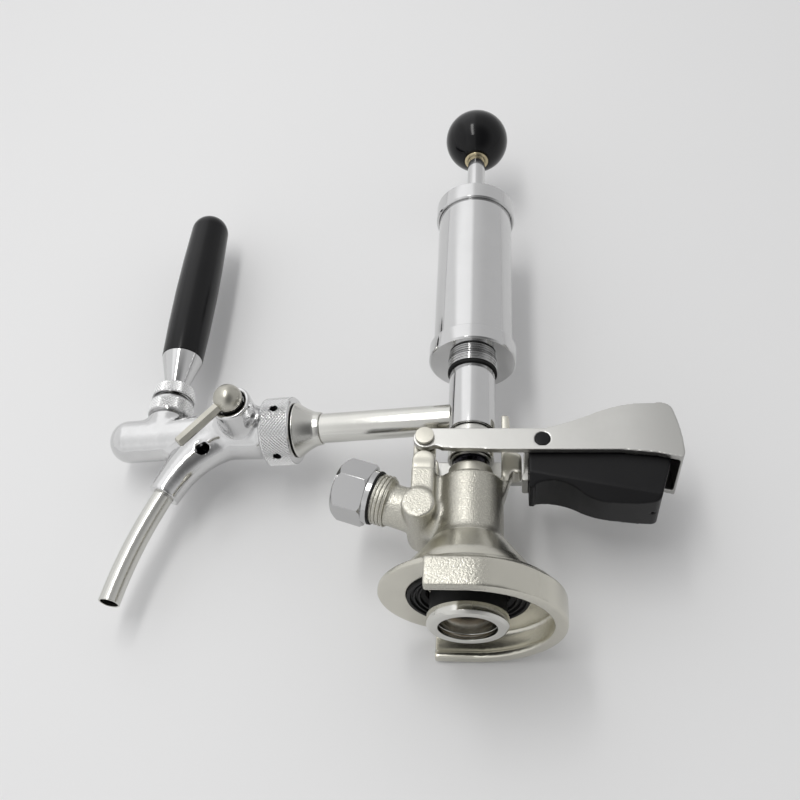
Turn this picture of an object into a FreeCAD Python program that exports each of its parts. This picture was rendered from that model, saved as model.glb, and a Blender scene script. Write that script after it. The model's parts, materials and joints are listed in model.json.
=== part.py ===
import FreeCAD, Part
import math
import os
import Sketcher

# Keg party pump: a sliding keg coupler with a lever, a hand pump on its column and a beer tap on a side
# pipe.
# Row frame in millimetres: origin on the coupler's axis at the bottom of the slider, +Z up along the pump,
# +X towards the lever's grip, -X towards the gas port and the tap, -Y towards the viewer.

doc = FreeCAD.newDocument("KegPartyPump")
sheet = doc.addObject("Spreadsheet::Sheet", "Sizes")
nodes = []
places = {}


class Length:
    """A number together with the sheet expression that it comes from."""

    def __init__(self, value, text):
        self.value = float(value)
        self.text = text

    def __add__(self, other):
        other = as_length(other)
        return Length(self.value + other.value, f"({self.text} + {other.text})")

    def __radd__(self, other):
        return as_length(other) + self

    def __sub__(self, other):
        other = as_length(other)
        return Length(self.value - other.value, f"({self.text} - {other.text})")

    def __rsub__(self, other):
        return as_length(other) - self

    def __mul__(self, other):
        other = as_length(other)
        return Length(self.value * other.value, f"({self.text} * {other.text})")

    __rmul__ = __mul__

    def __truediv__(self, other):
        other = as_length(other)
        return Length(self.value / other.value, f"({self.text} / {other.text})")

    def __neg__(self):
        return Length(-self.value, f"(0 - {self.text})")


def as_length(number):
    if isinstance(number, Length):
        return number
    return Length(number, f"{float(number)}")


def sine(angle):
    return Length(math.sin(math.radians(angle.value)), f"sin({angle.text})")


def cosine(angle):
    return Length(math.cos(math.radians(angle.value)), f"cos({angle.text})")


def root(square):
    return Length(math.sqrt(square.value), f"sqrt({square.text})")


def size(alias, value):
    """Writes one driving dimension into the sheet."""
    row = size.rows = size.rows + 1
    sheet.set(f"A{row}", alias)
    sheet.set(f"B{row}", str(value))
    sheet.setAlias(f"B{row}", alias)
    return Length(value, f"Sizes.{alias}")


size.rows = 0


# Drawing helpers


def origin_plane(body, role):
    for feature in body.Origin.OriginFeatures:
        if feature.Role == role:
            return feature
    raise ValueError(role)


def fix_point(sketch, edge, end, u, v):
    for kind, measure in (("DistanceX", u), ("DistanceY", v)):
        index = sketch.addConstraint(Sketcher.Constraint(kind, edge, end, measure.value))
        sketch.setExpression(f"Constraints[{index}]", measure.text)


def outline(body, name, role, points):
    """A closed outline whose corners follow the sheet. A point of four numbers starts an arc
    that runs to the next point by way of its last two."""
    sketch = body.newObject("Sketcher::SketchObject", name)
    sketch.AttachmentSupport = [(origin_plane(body, role), "")]
    sketch.MapMode = "FlatFace"
    corners = [tuple(as_length(number) for number in point) for point in points]
    vectors = [FreeCAD.Vector(corner[0].value, corner[1].value, 0) for corner in corners]
    count = len(corners)
    first_end = {}
    for index, corner in enumerate(corners):
        here = vectors[index]
        there = vectors[(index + 1) % count]
        first_end[index] = 1
        if len(corner) == 4:
            way = FreeCAD.Vector(corner[2].value, corner[3].value, 0)
            if (way - here).cross(there - way).z < 0:
                first_end[index] = 2
                edge = sketch.addGeometry(Part.Arc(there, way, here), False)
            else:
                edge = sketch.addGeometry(Part.Arc(here, way, there), False)
        else:
            edge = sketch.addGeometry(Part.LineSegment(here, there), False)
        fix_point(sketch, edge, first_end[index], corner[0], corner[1])
    for index in range(count):
        following = (index + 1) % count
        last_end = 3 - first_end[index]
        start_end = first_end[following]
        sketch.addConstraint(Sketcher.Constraint("Coincident", index, last_end, following, start_end))
    for index, corner in enumerate(corners):
        if len(corner) == 4:
            way = FreeCAD.Vector(corner[2].value, corner[3].value, 0)
            guide = sketch.addGeometry(Part.Point(way), True)
            fix_point(sketch, guide, 1, corner[2], corner[3])
            sketch.addConstraint(Sketcher.Constraint("PointOnObject", guide, 1, index))
    return sketch


def vector(numbers):
    x, y, z = [as_length(number).text for number in numbers]
    return f"vector({x}; {y}; {z})"


def place(item, at=(0, 0, 0), axis=(0, 0, 1), angle=0):
    """Turns a piece about an axis through the origin and then shifts it, after what it was given before."""
    step = f"placement({vector(at)}; rotation({vector(axis)}; {as_length(angle).text}))"
    if item.Name in places:
        step = f"{step} * {places[item.Name]}"
    places[item.Name] = step
    item.setExpression("Placement", step)
    return item


def turned(name, points, axis="V_Axis", at=(0, 0, 0)):
    """A solid turned about the axis from points of radius and height, or of length and radius."""
    body = doc.addObject("PartDesign::Body", name)
    sketch = outline(body, f"{name}_profile", "XZ_Plane", points)
    feature = body.newObject("PartDesign::Revolution", f"{name}_turn")
    feature.Profile = sketch
    feature.ReferenceAxis = (sketch, [axis])
    feature.Angle = 360
    return place(body, at)


def plate(name, points, width, middle=0):
    """A plate with an outline in X and Z, its width laid evenly to both sides of middle in Y."""
    body = doc.addObject("PartDesign::Body", name)
    sketch = outline(body, f"{name}_profile", "XZ_Plane", points)
    feature = body.newObject("PartDesign::Pad", f"{name}_pad")
    feature.Profile = sketch
    feature.setExpression("Length", as_length(width).text)
    return place(body, (0, as_length(middle) + as_length(width) / 2, 0))


STANDING = {"Z": ((0, 0, 1), 0), "X": ((0, 1, 0), 90), "Y": ((1, 0, 0), -90)}


def stand(item, at, axis):
    """Lets an upright form run along the named axis, from the given point."""
    turn_axis, angle = STANDING[axis]
    return place(item, at, turn_axis, angle)


def bind(item, **measures):
    for name, measure in measures.items():
        item.setExpression(name, as_length(measure).text)
    return item


def cylinder(name, radius, height, at=(0, 0, 0), axis="Z"):
    item = doc.addObject("Part::Cylinder", name)
    return stand(bind(item, Radius=radius, Height=height), at, axis)


def cone(name, low, high, height, at=(0, 0, 0), axis="Z"):
    item = doc.addObject("Part::Cone", name)
    return stand(bind(item, Radius1=low, Radius2=high, Height=height), at, axis)


def ball(name, radius, at, axis="Z"):
    """A ball whose poles lie on the named axis."""
    return stand(bind(doc.addObject("Part::Sphere", name), Radius=radius), at, axis)


def box(name, low, high):
    low = [as_length(number) for number in low]
    high = [as_length(number) for number in high]
    item = doc.addObject("Part::Box", name)
    bind(item, Length=high[0] - low[0], Width=high[1] - low[1], Height=high[2] - low[2])
    return place(item, low)


def fuse(name, items):
    item = doc.addObject("Part::MultiFuse", name)
    item.Shapes = items
    item.Refine = True
    return item


def cut(name, base, tools):
    tool = tools[0]
    if len(tools) > 1:
        tool = doc.addObject("Part::MultiFuse", f"{name}_tools")
        tool.Shapes = tools
    item = doc.addObject("Part::Cut", name)
    item.Base = base
    item.Tool = tool
    item.Refine = True
    return item


def common(name, first, second):
    item = doc.addObject("Part::MultiCommon", name)
    item.Shapes = [first, second]
    item.Refine = True
    return item


def ring(name, inner, outer, low, high, at=(0, 0, 0)):
    """A plain ring about the vertical axis."""
    return turned(name, [(inner, low), (outer, low), (outer, high), (inner, high)], at=at)


def node(item, label):
    item.Label = label
    nodes.append(item)
    return item


def in_tap_frame(item, height=0):
    """Turns a piece from the tap's own frame, x along the pipe and y to the front, into the row frame."""
    return place(item, (0, 0, height), (0, 0, 1), 180 - tap_turn)


def in_port_frame(item):
    """Turns a piece whose x runs out along the gas port into the row frame."""
    place(item, (0, 0, 0), (0, 1, 0), -port_tilt)
    return place(item, (0, 0, port_height), (0, 0, 1), 180)


# Driving dimensions: fits
slip = size("slip_clearance", 0.05)
running = size("running_clearance", 0.08)
gap = size("free_gap", 0.3)

# Driving dimensions: slider and casting
flange_underside = size("flange_underside", 12.7)
flange_rim = size("flange_rim", 2.4)
slider_radius = size("slider_radius", 41.3)
flange_radius = slider_radius - size("flange_setback", 3.0)
shoulder_radius = slider_radius - size("shoulder_setback", 11.3)
shoulder_height = size("shoulder_height", 18.3)
slider_reach = size("slider_reach", 16.0)
slider_wall = size("slider_wall", 2.8)
slider_lip = size("slider_lip", 5.8)
lip_height = size("lip_height", 3.2)
seal_seat_radius = size("seal_seat_radius", 25.9)
seal_seat_height = size("seal_seat_height", 17.6)
flare_radius = size("flare_radius", 26.9)
flare_height = size("flare_height", 24.2)
flare_top = size("flare_top", 41.8)
barrel_radius = size("barrel_radius", 14.9)
barrel_top = size("barrel_top", 67.6)
barrel_edge = size("barrel_edge", 0.8)
cavity_radius = size("cavity_radius", 17.0)
cavity_height = size("cavity_height", 27.6)
chamber_radius = size("gas_chamber_radius", 11.5)
chamber_floor = size("gas_chamber_floor", 33.0)
chamber_top = size("gas_chamber_top", 57.0)
bush_bore = size("bush_bore_radius", 9.35)
lug_thickness = size("lug_thickness", 10.0)
lug_width = size("lug_width", 32.6)
lug_low = size("lug_low", 47.0)
lug_high = size("lug_high", 70.0)
lug_stem = size("lug_stem_width", 18.0)
boss_radius = size("boss_radius", 7.3)
boss_height = size("boss_height", 49.0)
boss_front = size("boss_front", 17.6)
ear_thickness = size("ear_thickness", 5.0)
post_width = size("post_width", 9.2)
post_top = size("post_top", 101.7)
nose_reach = size("nose_reach", 23.0)

# Driving dimensions: gas port
port_tilt = size("port_tilt", 18.0)
port_height = size("port_height", 46.5)
port_neck_radius = size("port_neck_radius", 9.5)
port_neck_drop = size("port_neck_drop", 1.0)
port_bore = size("port_bore_radius", 4.2)
port_thread_radius = size("port_thread_radius", 11.2)
port_thread_start = size("port_thread_start", 36.8)
port_thread_length = size("port_thread_length", 16.0)
cap_start = size("cap_start", 44.6)
cap_collar = size("cap_collar", 2.5)
cap_length = size("cap_length", 17.5)
cap_flats = size("cap_across_flats", 25.2)

# Driving dimensions: lever and trigger
pivot_x = size("pivot_offset", 20.0)
pivot_z = size("pivot_height", 82.3)
pin_radius = size("pivot_pin_radius", 3.0)
pin_head = size("pivot_head_radius", 4.2)
arm_outside = size("arm_outside", 16.5)
arm_inside = size("arm_inside", 13.0)
arm_depth = size("arm_depth", 11.2)
lever_skin = size("lever_skin", 2.6)
grip_rise = size("grip_rise", 13.2)
grip_end = size("grip_end", 93.0)
grip_lip = size("grip_lip_height", 72.0)
trigger_pin_x = size("trigger_pin_offset", 32.0)
trigger_pin_z = size("trigger_pin_height", 81.4)
trigger_pin_radius = size("trigger_pin_radius", 3.3)
trigger_half = size("trigger_half_width", 12.4)
trigger_wall = size("trigger_wall", 2.2)
trigger_bottom = size("trigger_bottom", 53.2)
trigger_slope = size("trigger_edge_slope", 11.3)
trigger_lean = size("trigger_edge_lean", 32.0)
trunnion_radius = size("trunnion_radius", 2.4)

# Driving dimensions: probe
ring_radius = size("probe_ring_radius", 17.2)
ring_bore = size("probe_ring_bore", 12.45)
ring_drop = size("probe_ring_drop", 0.9)
ring_height = size("probe_ring_height", 5.3)
cup_radius = size("probe_cup_radius", 14.6)
cup_top = size("probe_cup_top", 15.0)
probe_seal_radius = size("probe_seal_radius", 16.3)
stem_radius = size("probe_stem_radius", 8.3)
stem_bore = size("probe_stem_bore", 6.3)
stem_top = size("probe_stem_top", 99.0)
fork_ring_low = size("fork_ring_low", 79.6)
fork_ring_high = size("fork_ring_high", 92.6)
fork_ring_radius = size("fork_ring_radius", 10.6)
check_ball_radius = size("check_ball_radius", 4.6)
beer_tube_radius = size("beer_tube_radius", 4.6)
beer_tube_bore = size("beer_tube_bore", 3.4)

# Driving dimensions: column and pump
column_radius = size("column_radius", 11.0)
column_low = size("column_low", 94.5)
column_high = size("column_high", 127.9)
nut_low = size("column_nut_low", 129.7)
nut_high = size("column_nut_high", 134.6)
nut_radius = size("column_nut_radius", 12.0)
base_cap_radius = size("base_cap_radius", 21.2)
base_cap_high = size("base_cap_high", 143.5)
pump_tube_radius = size("pump_tube_radius", 19.2)
pump_tube_wall = size("pump_tube_wall", 1.8)
top_cap_low = size("top_cap_low", 228.4)
top_cap_high = size("top_cap_high", 239.0)
top_cap_radius = size("top_cap_radius", 20.65)
rod_radius = size("pump_rod_radius", 4.8)
piston_low = size("piston_low", 148.0)
knob_radius = size("knob_radius", 17.4)
knob_height = size("knob_height", 293.7)
insert_radius = size("knob_insert_radius", 6.5)

# Driving dimensions: side pipe and tap, in the tap's frame
tap_turn = size("tap_turn", 7.0)
pipe_height = size("pipe_height", 103.3)
pipe_radius = size("pipe_radius", 7.15)
pipe_wall = size("pipe_wall", 1.6)
cone_end = size("cone_end", 84.9)
cone_start = cone_end - size("cone_length", 12.1)
pipe_end = cone_start + size("pipe_insertion", 1.2)
cone_radius = size("cone_radius", 13.4)
union_radius = size("union_nut_radius", 16.2)
union_end = cone_end + size("union_nut_reach", 15.4)
union_thread = size("union_thread_radius", 13.8)
spanner_hole = size("spanner_hole_radius", 1.7)
body_radius = size("tap_body_radius", 13.0)
nose_radius = size("tap_nose_radius", 10.6)
nose_end = union_end + size("tap_nose_reach", 82.5)
tap_station = union_end + size("tap_lever_reach", 54.4)
tap_pivot = pipe_height + size("tap_pivot_rise", 14.7)
lever_ball = size("lever_ball_radius", 6.0)
tail_ball = size("lever_tail_radius", 2.3)
lever_shank = size("lever_shank_radius", 3.0)
seat_floor = pipe_height + size("lever_seat_rise", 16.2)
ring_outer = size("tap_ring_radius", 10.8)
bonnet_low = pipe_height + size("bonnet_rise", 12.7)
bonnet_high = bonnet_low + size("bonnet_length", 9.2)
cap_low = bonnet_high + size("lever_cap_gap", 0.8)
cap_high = cap_low + size("lever_cap_length", 10.0)
grip_low = cap_high + size("ferrule_length", 17.2)
grip_high = grip_low + size("tap_grip_length", 100.8)
grip_radius = size("tap_grip_radius", 11.4)
socket_x = union_end + size("spout_socket_reach", 48.7)
socket_z = pipe_height - size("spout_socket_drop", 32.5)
socket_radius = size("spout_socket_radius", 8.0)
spout_radius = size("spout_radius", 5.0)
spout_wall = size("spout_wall", 0.8)
spout_bend = size("spout_bend_radius", 210.0)
spout_start = size("spout_start_angle", 24.0)
spout_finish = size("spout_end_angle", 8.5)
seat_x = union_end + size("valve_seat_reach", 26.7)

# Driving dimensions: flow control at the tap's side, in the tap's frame
flow_x = union_end + size("flow_reach", 10.7)
flow_z = pipe_height + size("flow_rise", 1.2)
flow_tower_radius = size("flow_tower_radius", 8.6)
flow_tower_end = size("flow_tower_end", 22.0)
flow_ball_radius = size("flow_ball_radius", 6.9)
flow_ball_y = size("flow_ball_reach", 29.0)
flow_shaft_radius = size("flow_shaft_radius", 3.0)
flow_bar_length = size("flow_bar_length", 31.0)
flow_bar_root = size("flow_bar_root", 3.5)
flow_bar_angle = size("flow_bar_angle", 48.0)
flow_bar_flats = size("flow_bar_across_flats", 4.8)
flow_crank = size("flow_crank_radius", 1.4)
flow_turn = size("flow_turn_range", 100.0)
chamber_mouth = size("flow_chamber_mouth_radius", 10.0)
chamber_wall = size("flow_chamber_radius", 8.5)


def slider_wall_profile():
    """The slider's hooked wall: outside, top slope, recess for the keg's flange and the lip under it."""
    inner = slider_radius - slider_wall
    lip = slider_radius - slider_lip
    return [
        (lip, 0),
        (slider_radius, 0),
        (slider_radius, flange_underside - 0.5),
        (shoulder_radius, shoulder_height),
        (shoulder_radius, flange_underside),
        (inner, flange_underside),
        (inner, lip_height),
        (lip, lip_height),
    ]


def slider_wall_solids():
    bend = doc.addObject("PartDesign::Body", "slider_bend")
    sketch = outline(bend, "slider_bend_profile", "XZ_Plane", slider_wall_profile())
    turn = bend.newObject("PartDesign::Revolution", "slider_bend_turn")
    turn.Profile = sketch
    turn.ReferenceAxis = (sketch, ["V_Axis"])
    turn.Angle = 180
    place(bend, angle=-90)
    sides = []
    for side, sign in (("front", -1), ("back", 1)):
        body = doc.addObject("PartDesign::Body", f"slider_{side}")
        profile = [(sign * as_length(radius), height) for radius, height in slider_wall_profile()]
        sketch = outline(body, f"slider_{side}_profile", "YZ_Plane", profile)
        pad = body.newObject("PartDesign::Pad", f"slider_{side}_pad")
        pad.Profile = sketch
        pad.setExpression("Length", slider_reach.text)
        sides.append(place(body, (-slider_reach, 0, 0)))
    return [bend] + sides


def casting_outside():
    """Flange, flare and barrel as one turned form."""
    return turned("casting_outside", [
        (0, flange_underside),
        (flange_radius, flange_underside),
        (flange_radius, flange_underside + flange_rim),
        (shoulder_radius, shoulder_height),
        (flare_radius + 1.5, flare_height - 2.6),
        (flare_radius, flare_height),
        (barrel_radius + 1.24, flare_top - 3.6, barrel_radius + 0.32, flare_top - 1.93),
        (barrel_radius, flare_top),
        (barrel_radius, barrel_top - barrel_edge),
        (barrel_radius - barrel_edge, barrel_top),
        (0, barrel_top),
    ])


def casting_bore():
    return turned("casting_bore", [
        (0, flange_underside - 1),
        (seal_seat_radius, flange_underside - 1),
        (seal_seat_radius, seal_seat_height),
        (cavity_radius, seal_seat_height),
        (cavity_radius, cavity_height),
        (chamber_radius, chamber_floor),
        (chamber_radius, chamber_top),
        (bush_bore, chamber_top),
        (bush_bore, barrel_top + 1),
        (0, barrel_top + 1),
    ])


def lever_lug():
    """The cross bar and ears on the port side that carry the lever's pin, with the round boss."""
    outer_x = -(pivot_x + lug_thickness / 2 + 0.2)
    inner_x = -(pivot_x - lug_thickness / 2 + 0.2)
    half = lug_width / 2
    bar = box("lug_bar", (outer_x, -half, lug_low), (inner_x, half, lug_high))
    stem = box("lug_stem", (outer_x + 2, -lug_stem / 2, lug_low + 6), (-8, lug_stem / 2, lug_high - 3))
    boss = cylinder("lug_boss", boss_radius, boss_front * 2, (-pivot_x - 1.5, -boss_front, boss_height), "Y")
    knuckle_at = (-pivot_x - 0.2, 0.5 - half, lug_high + 1.3)
    knuckle = cylinder("lug_knuckle", lug_thickness / 2, lug_width - 1, knuckle_at, "Y")
    ears = []
    for side, sign in (("front", -1), ("back", 1)):
        low = sign * (arm_inside - 0.4 - ear_thickness / 2)
        ears.append(plate(f"ear_{side}", [
            (outer_x, lug_high - 2),
            (inner_x, lug_high - 2),
            (inner_x, pivot_z, -pivot_x - 0.2, pivot_z + lug_thickness / 2),
            (outer_x, pivot_z),
        ], ear_thickness, low))
    return [bar, stem, boss, knuckle] + ears


def latch_post():
    """The post that the trigger's pawl hooks on, with its nose and the rib down to the barrel."""
    return plate("latch_post", [
        (9, 55),
        (13.6, 56.5),
        (15.4, 60),
        (18.5, 71.6),
        (nose_reach - 1.6, 70.9, nose_reach - 0.4, 71.5),
        (nose_reach, 73),
        (nose_reach, 78.4, nose_reach - 0.6, 80.6),
        (nose_reach - 2.4, 81.9),
        (18.4, 82.2),
        (17.5, post_top),
        (13.8, post_top + 0.6),
        (13.8, barrel_top + 1),
        (12.6, 64),
        (9, 64),
    ], post_width)


def coupler_casting():
    neck_at = (0, 0, -port_neck_drop)
    neck = cone("port_neck", port_neck_radius + 1, port_neck_radius, port_thread_start + 1, neck_at, "X")
    thread = turned("port_thread", [
        (port_thread_start, 0),
        (port_thread_start, port_thread_radius - 1),
        (port_thread_start + 1, port_thread_radius),
        (port_thread_start + port_thread_length - 1, port_thread_radius),
        (port_thread_start + port_thread_length, port_thread_radius - 1),
        (port_thread_start + port_thread_length, 0),
    ], "H_Axis")
    port = in_port_frame(fuse("port_outside", [neck, thread]))
    port_end = port_thread_start + port_thread_length
    narrow = cylinder("port_passage", port_bore, port_end, (7, 0, 0), "X")
    wide = cylinder("port_pocket", port_thread_radius - 3, 11, (port_end - 10.5, 0, 0), "X")
    passage = in_port_frame(fuse("port_inside", [narrow, wide]))
    slider = fuse("slider_form", [casting_outside()] + slider_wall_solids())
    lug = fuse("lug_form", lever_lug())
    solid = fuse("casting_solid", [slider, latch_post(), port, lug])
    pin_hole = cylinder("lever_pin_hole", pin_radius + slip, 50, (-pivot_x, -25, pivot_z), "Y")
    node(cut("coupler_casting", solid, [casting_bore(), passage, pin_hole]), "coupler_body")


def coupler_inserts():
    node(turned("bush", [
        (stem_radius + running, 61.3),
        (bush_bore - slip, 61.3),
        (bush_bore - slip, barrel_top),
        (bush_bore + 0.65, barrel_top),
        (bush_bore + 0.65, barrel_top + 6.1),
        (bush_bore - slip, barrel_top + 7.1),
        (stem_radius + running, barrel_top + 7.1),
    ]), "guide_bush")
    node(turned("lip_seal", [
        (stem_radius + running, chamber_top + 0.1),
        (8.7, chamber_top + 0.1),
        (8.85, chamber_top + 1.6),
        (9.0, chamber_top + 0.1),
        (bush_bore - slip, chamber_top + 0.1),
        (bush_bore - slip, 61.2),
        (stem_radius + running, 61.2),
    ]), "probe_lip_seal")
    seal_outer = seal_seat_radius - slip
    seal_inner = ring_radius + 0.7
    node(turned("face_seal", [
        (seal_inner, seal_seat_height - 0.1),
        (seal_outer, seal_seat_height - 0.1),
        (seal_outer, 11.6),
        (24.4, 11.6),
        (24.2, 12.9),
        (23.3, 12.9),
        (23.1, 12.0),
        (22.3, 12.0),
        (22.1, 13.3),
        (21.2, 13.3),
        (21.0, 12.4),
        (20.2, 12.4),
        (20.0, 13.7),
        (seal_inner, 14.6),
    ]), "bottom_seal")
    half = arm_outside
    node(fuse("pivot_pin", [
        cylinder("pivot_shank", pin_radius, half * 2 + 2, (-pivot_x, -half - 1, pivot_z), "Y"),
        cylinder("pivot_front_head", pin_head, 1.5, (-pivot_x, -half - 1.8, pivot_z), "Y"),
        cylinder("pivot_back_head", pin_head, 1.5, (-pivot_x, half + 0.3, pivot_z), "Y"),
    ]), "lever_pin")


def gas_port_pieces():
    start = cap_start
    collar_end = cap_start + cap_collar
    end = cap_start + cap_length
    corner = cap_flats / math.sqrt(3)
    hexagon = doc.addObject("Part::Prism", "cap_hexagon")
    hexagon.Polygon = 6
    bind(hexagon, Circumradius=corner, Height=end - collar_end)
    place(hexagon, angle=30)
    stand(hexagon, (collar_end, 0, 0), "X")
    rounding = turned("cap_rounding", [
        (collar_end, 0),
        (collar_end, corner - 0.9),
        (collar_end + 1.2, corner + 0.1),
        (end - 2.6, corner + 0.1),
        (end, corner - 2.6),
        (end, 0),
    ], "H_Axis")
    head = common("cap_head", hexagon, rounding)
    collar = cylinder("cap_collar", cap_flats / 2 - 0.1, cap_collar, (start, 0, 0), "X")
    cavity = cylinder("cap_cavity", port_thread_radius + slip, cap_length - 7, (start - 1, 0, 0), "X")
    node(in_port_frame(cut("cap", fuse("cap_solid", [head, collar]), [cavity])), "gas_port_cap")
    node(in_port_frame(turned("port_washer", [
        (start - 0.8, port_thread_radius + slip),
        (start - 0.8, port_thread_radius + 1.1),
        (start - slip, port_thread_radius + 1.1),
        (start - slip, port_thread_radius + slip),
    ], "H_Axis")), "gas_port_gasket")
    port_end = port_thread_start + port_thread_length
    pocket = port_thread_radius - 3 - slip
    node(in_port_frame(turned("gas_valve", [
        (port_end - 10.4, 3.2),
        (port_end - 10.4, pocket),
        (port_end - 8.2, pocket),
        (port_end - 8.2, 4.2),
        (port_end - 2.0, 1.0),
        (port_end - 2.0, 0.3),
        (port_end - 4.0, 0.3),
        (port_end - 9.2, 3.2),
    ], "H_Axis")), "gas_check_valve")


def lever_side():
    """The lever seen from the front: round end at the pin, straight arm, raised grip and end wall."""
    top = pivot_z + arm_depth / 2 - 0.7
    low = top - arm_depth
    crest = top + grip_rise
    end = grip_end
    return [
        (-pivot_x, top - 0.2),
        (trigger_pin_x + 1, top, 44.2, top + 3.4),
        (55, top + 7.9, 68, crest - 1.1),
        (82, crest, 87.2, crest - 0.7),
        (end - 3.4, crest - 3.2, end - 0.9, crest - 14.4),
        (end, grip_lip + 2.6),
        (end - 0.9, grip_lip),
        (end - 2.6, grip_lip),
        (end - 12, low - 1.8),
        (66, low - 0.2),
        (13, low - 0.2),
        (-11.4, low + 0.6),
        (-15.4, low + 2.0, -17.0, low + 1.2),
        (-pivot_x - 0.2, low + 0.9, -pivot_x - 5.3, pivot_z),
    ]


def lever():
    top = pivot_z + arm_depth / 2 - 0.7
    low = top - arm_depth
    crest = top + grip_rise
    end = grip_end
    skin = lever_skin
    solid = plate("lever_outside", lever_side(), arm_outside * 2)
    hollow = plate("lever_hollow", [
        (21, low - 30),
        (21, top - skin),
        (trigger_pin_x, top - skin, 43.6, top + 1.0),
        (54, top + 5.4, 67.6, crest - 1.1 - skin),
        (82, crest - skin, 86.0, crest - skin - 0.5),
        (end - 5.6, crest - skin - 2.6, end - 2.9, crest - 14.8),
        (end - 1.8, grip_lip + 2.4),
        (end - 2.6, grip_lip - 1),
        (end - 2.6, low - 30),
    ], arm_inside * 2)
    slot = box("fork_slot", (-40, -arm_inside, 60), (26, arm_inside, 110))
    pin_hole = cylinder("arm_pin_hole", pin_radius + running, 50, (-pivot_x, -25, pivot_z), "Y")
    trigger_hole_at = (trigger_pin_x, -25, trigger_pin_z)
    trigger_hole = cylinder("arm_trigger_hole", trigger_pin_radius + slip, 50, trigger_hole_at, "Y")
    half = trunnion_radius + 0.6
    reach = 4.3
    pockets = []
    for side, sign in (("front", -1), ("back", 1)):
        middle = sign * (arm_inside + 1.1)
        pockets.append(plate(f"trunnion_pocket_{side}", [
            (-0.4, pivot_z - half),
            (reach, pivot_z - half, reach + half, pivot_z),
            (reach, pivot_z + half),
            (-0.4, pivot_z + half, -0.4 - half, pivot_z),
        ], 2.4, middle))
    node(cut("lever_casting", solid, [hollow, slot, pin_hole, trigger_hole] + pockets), "lever_handle")
    node(cylinder("trigger_axle", trigger_pin_radius, arm_outside * 2 - 0.2,
                  (trigger_pin_x, 0.1 - arm_outside, trigger_pin_z), "Y"), "trigger_pin")


def trigger_side():
    """The trigger seen from the front: a short tab, the finger hollow and the bulge under the grip."""
    low = trigger_bottom
    return [
        (26, low + 8.0),
        (28.2, low + 7.8),
        (29.0, low + 9.2, 31.4, low + 9.9),
        (36.4, low + 10.2, 42.8, low + 8.6),
        (48.8, low + 5.0, 55.0, low + 2.0),
        (62, low + 0.7),
        (70, low, 76.5, low),
        (79.6, low + 0.3, 81.0, low + 0.9),
        (82.1, low + 2.4),
        (86.9, low + 18.3),
        (86.6, low + 21.6),
        (60, low + 24.0),
        (38, low + 25.4),
        (36.6, trigger_pin_z + 2.6),
        (28.6, trigger_pin_z + 2.6),
        (26, trigger_pin_z + 0.2),
    ]


def trigger_trim(side, sign):
    """A block whose face bevels the long lower edge on one side, sloping down towards the free end."""
    block = doc.addObject("Part::Box", f"trigger_trim_{side}")
    bind(block, Length=90, Width=14, Height=60)
    place(block, (-30, min(sign, 0) * 14, -40))
    place(block, (0, 0, 0), (1, 0, 0), -sign * trigger_lean)
    return place(block, (41, sign * trigger_half, trigger_bottom + 11.1), (0, 1, 0), trigger_slope)


def trigger():
    half = trigger_half
    wall = trigger_wall
    low = trigger_bottom
    solid = plate("trigger_outside", trigger_side(), half * 2)
    hollow = plate("trigger_hollow", [
        (36, low + 40),
        (36, low + 17.6),
        (46, low + 13.4),
        (58, low + 8.0),
        (78, low + 6.2),
        (83.2, low + 18.6),
        (84, low + 40),
    ], (half - wall) * 2)
    window = box("pawl_window", (25, -6.4, 77), (26 + wall + 10, 6.4, 90))
    bore_at = (trigger_pin_x, -20, trigger_pin_z)
    bore = cylinder("trigger_bore", trigger_pin_radius + running, 40, bore_at, "Y")
    end_hole = cylinder("trigger_end_hole", 0.8, 4, (79, 0, low - 1))
    trims = [trigger_trim("front", -1), trigger_trim("back", 1)]
    node(cut("trigger_moulding", solid, [hollow, window, bore, end_hole] + trims), "trigger_grip")
    node(plate("pawl", [
        (23.9, 66.2),
        (25.95, 66.2),
        (25.95, 77.2),
        (28.0, 77.2),
        (28.0, 79.4),
        (23.9, 85.2),
        (23.9, 70.4),
        (22.9, 68.9),
        (22.9, 66.6),
    ], 12), "latch_pawl")


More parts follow.
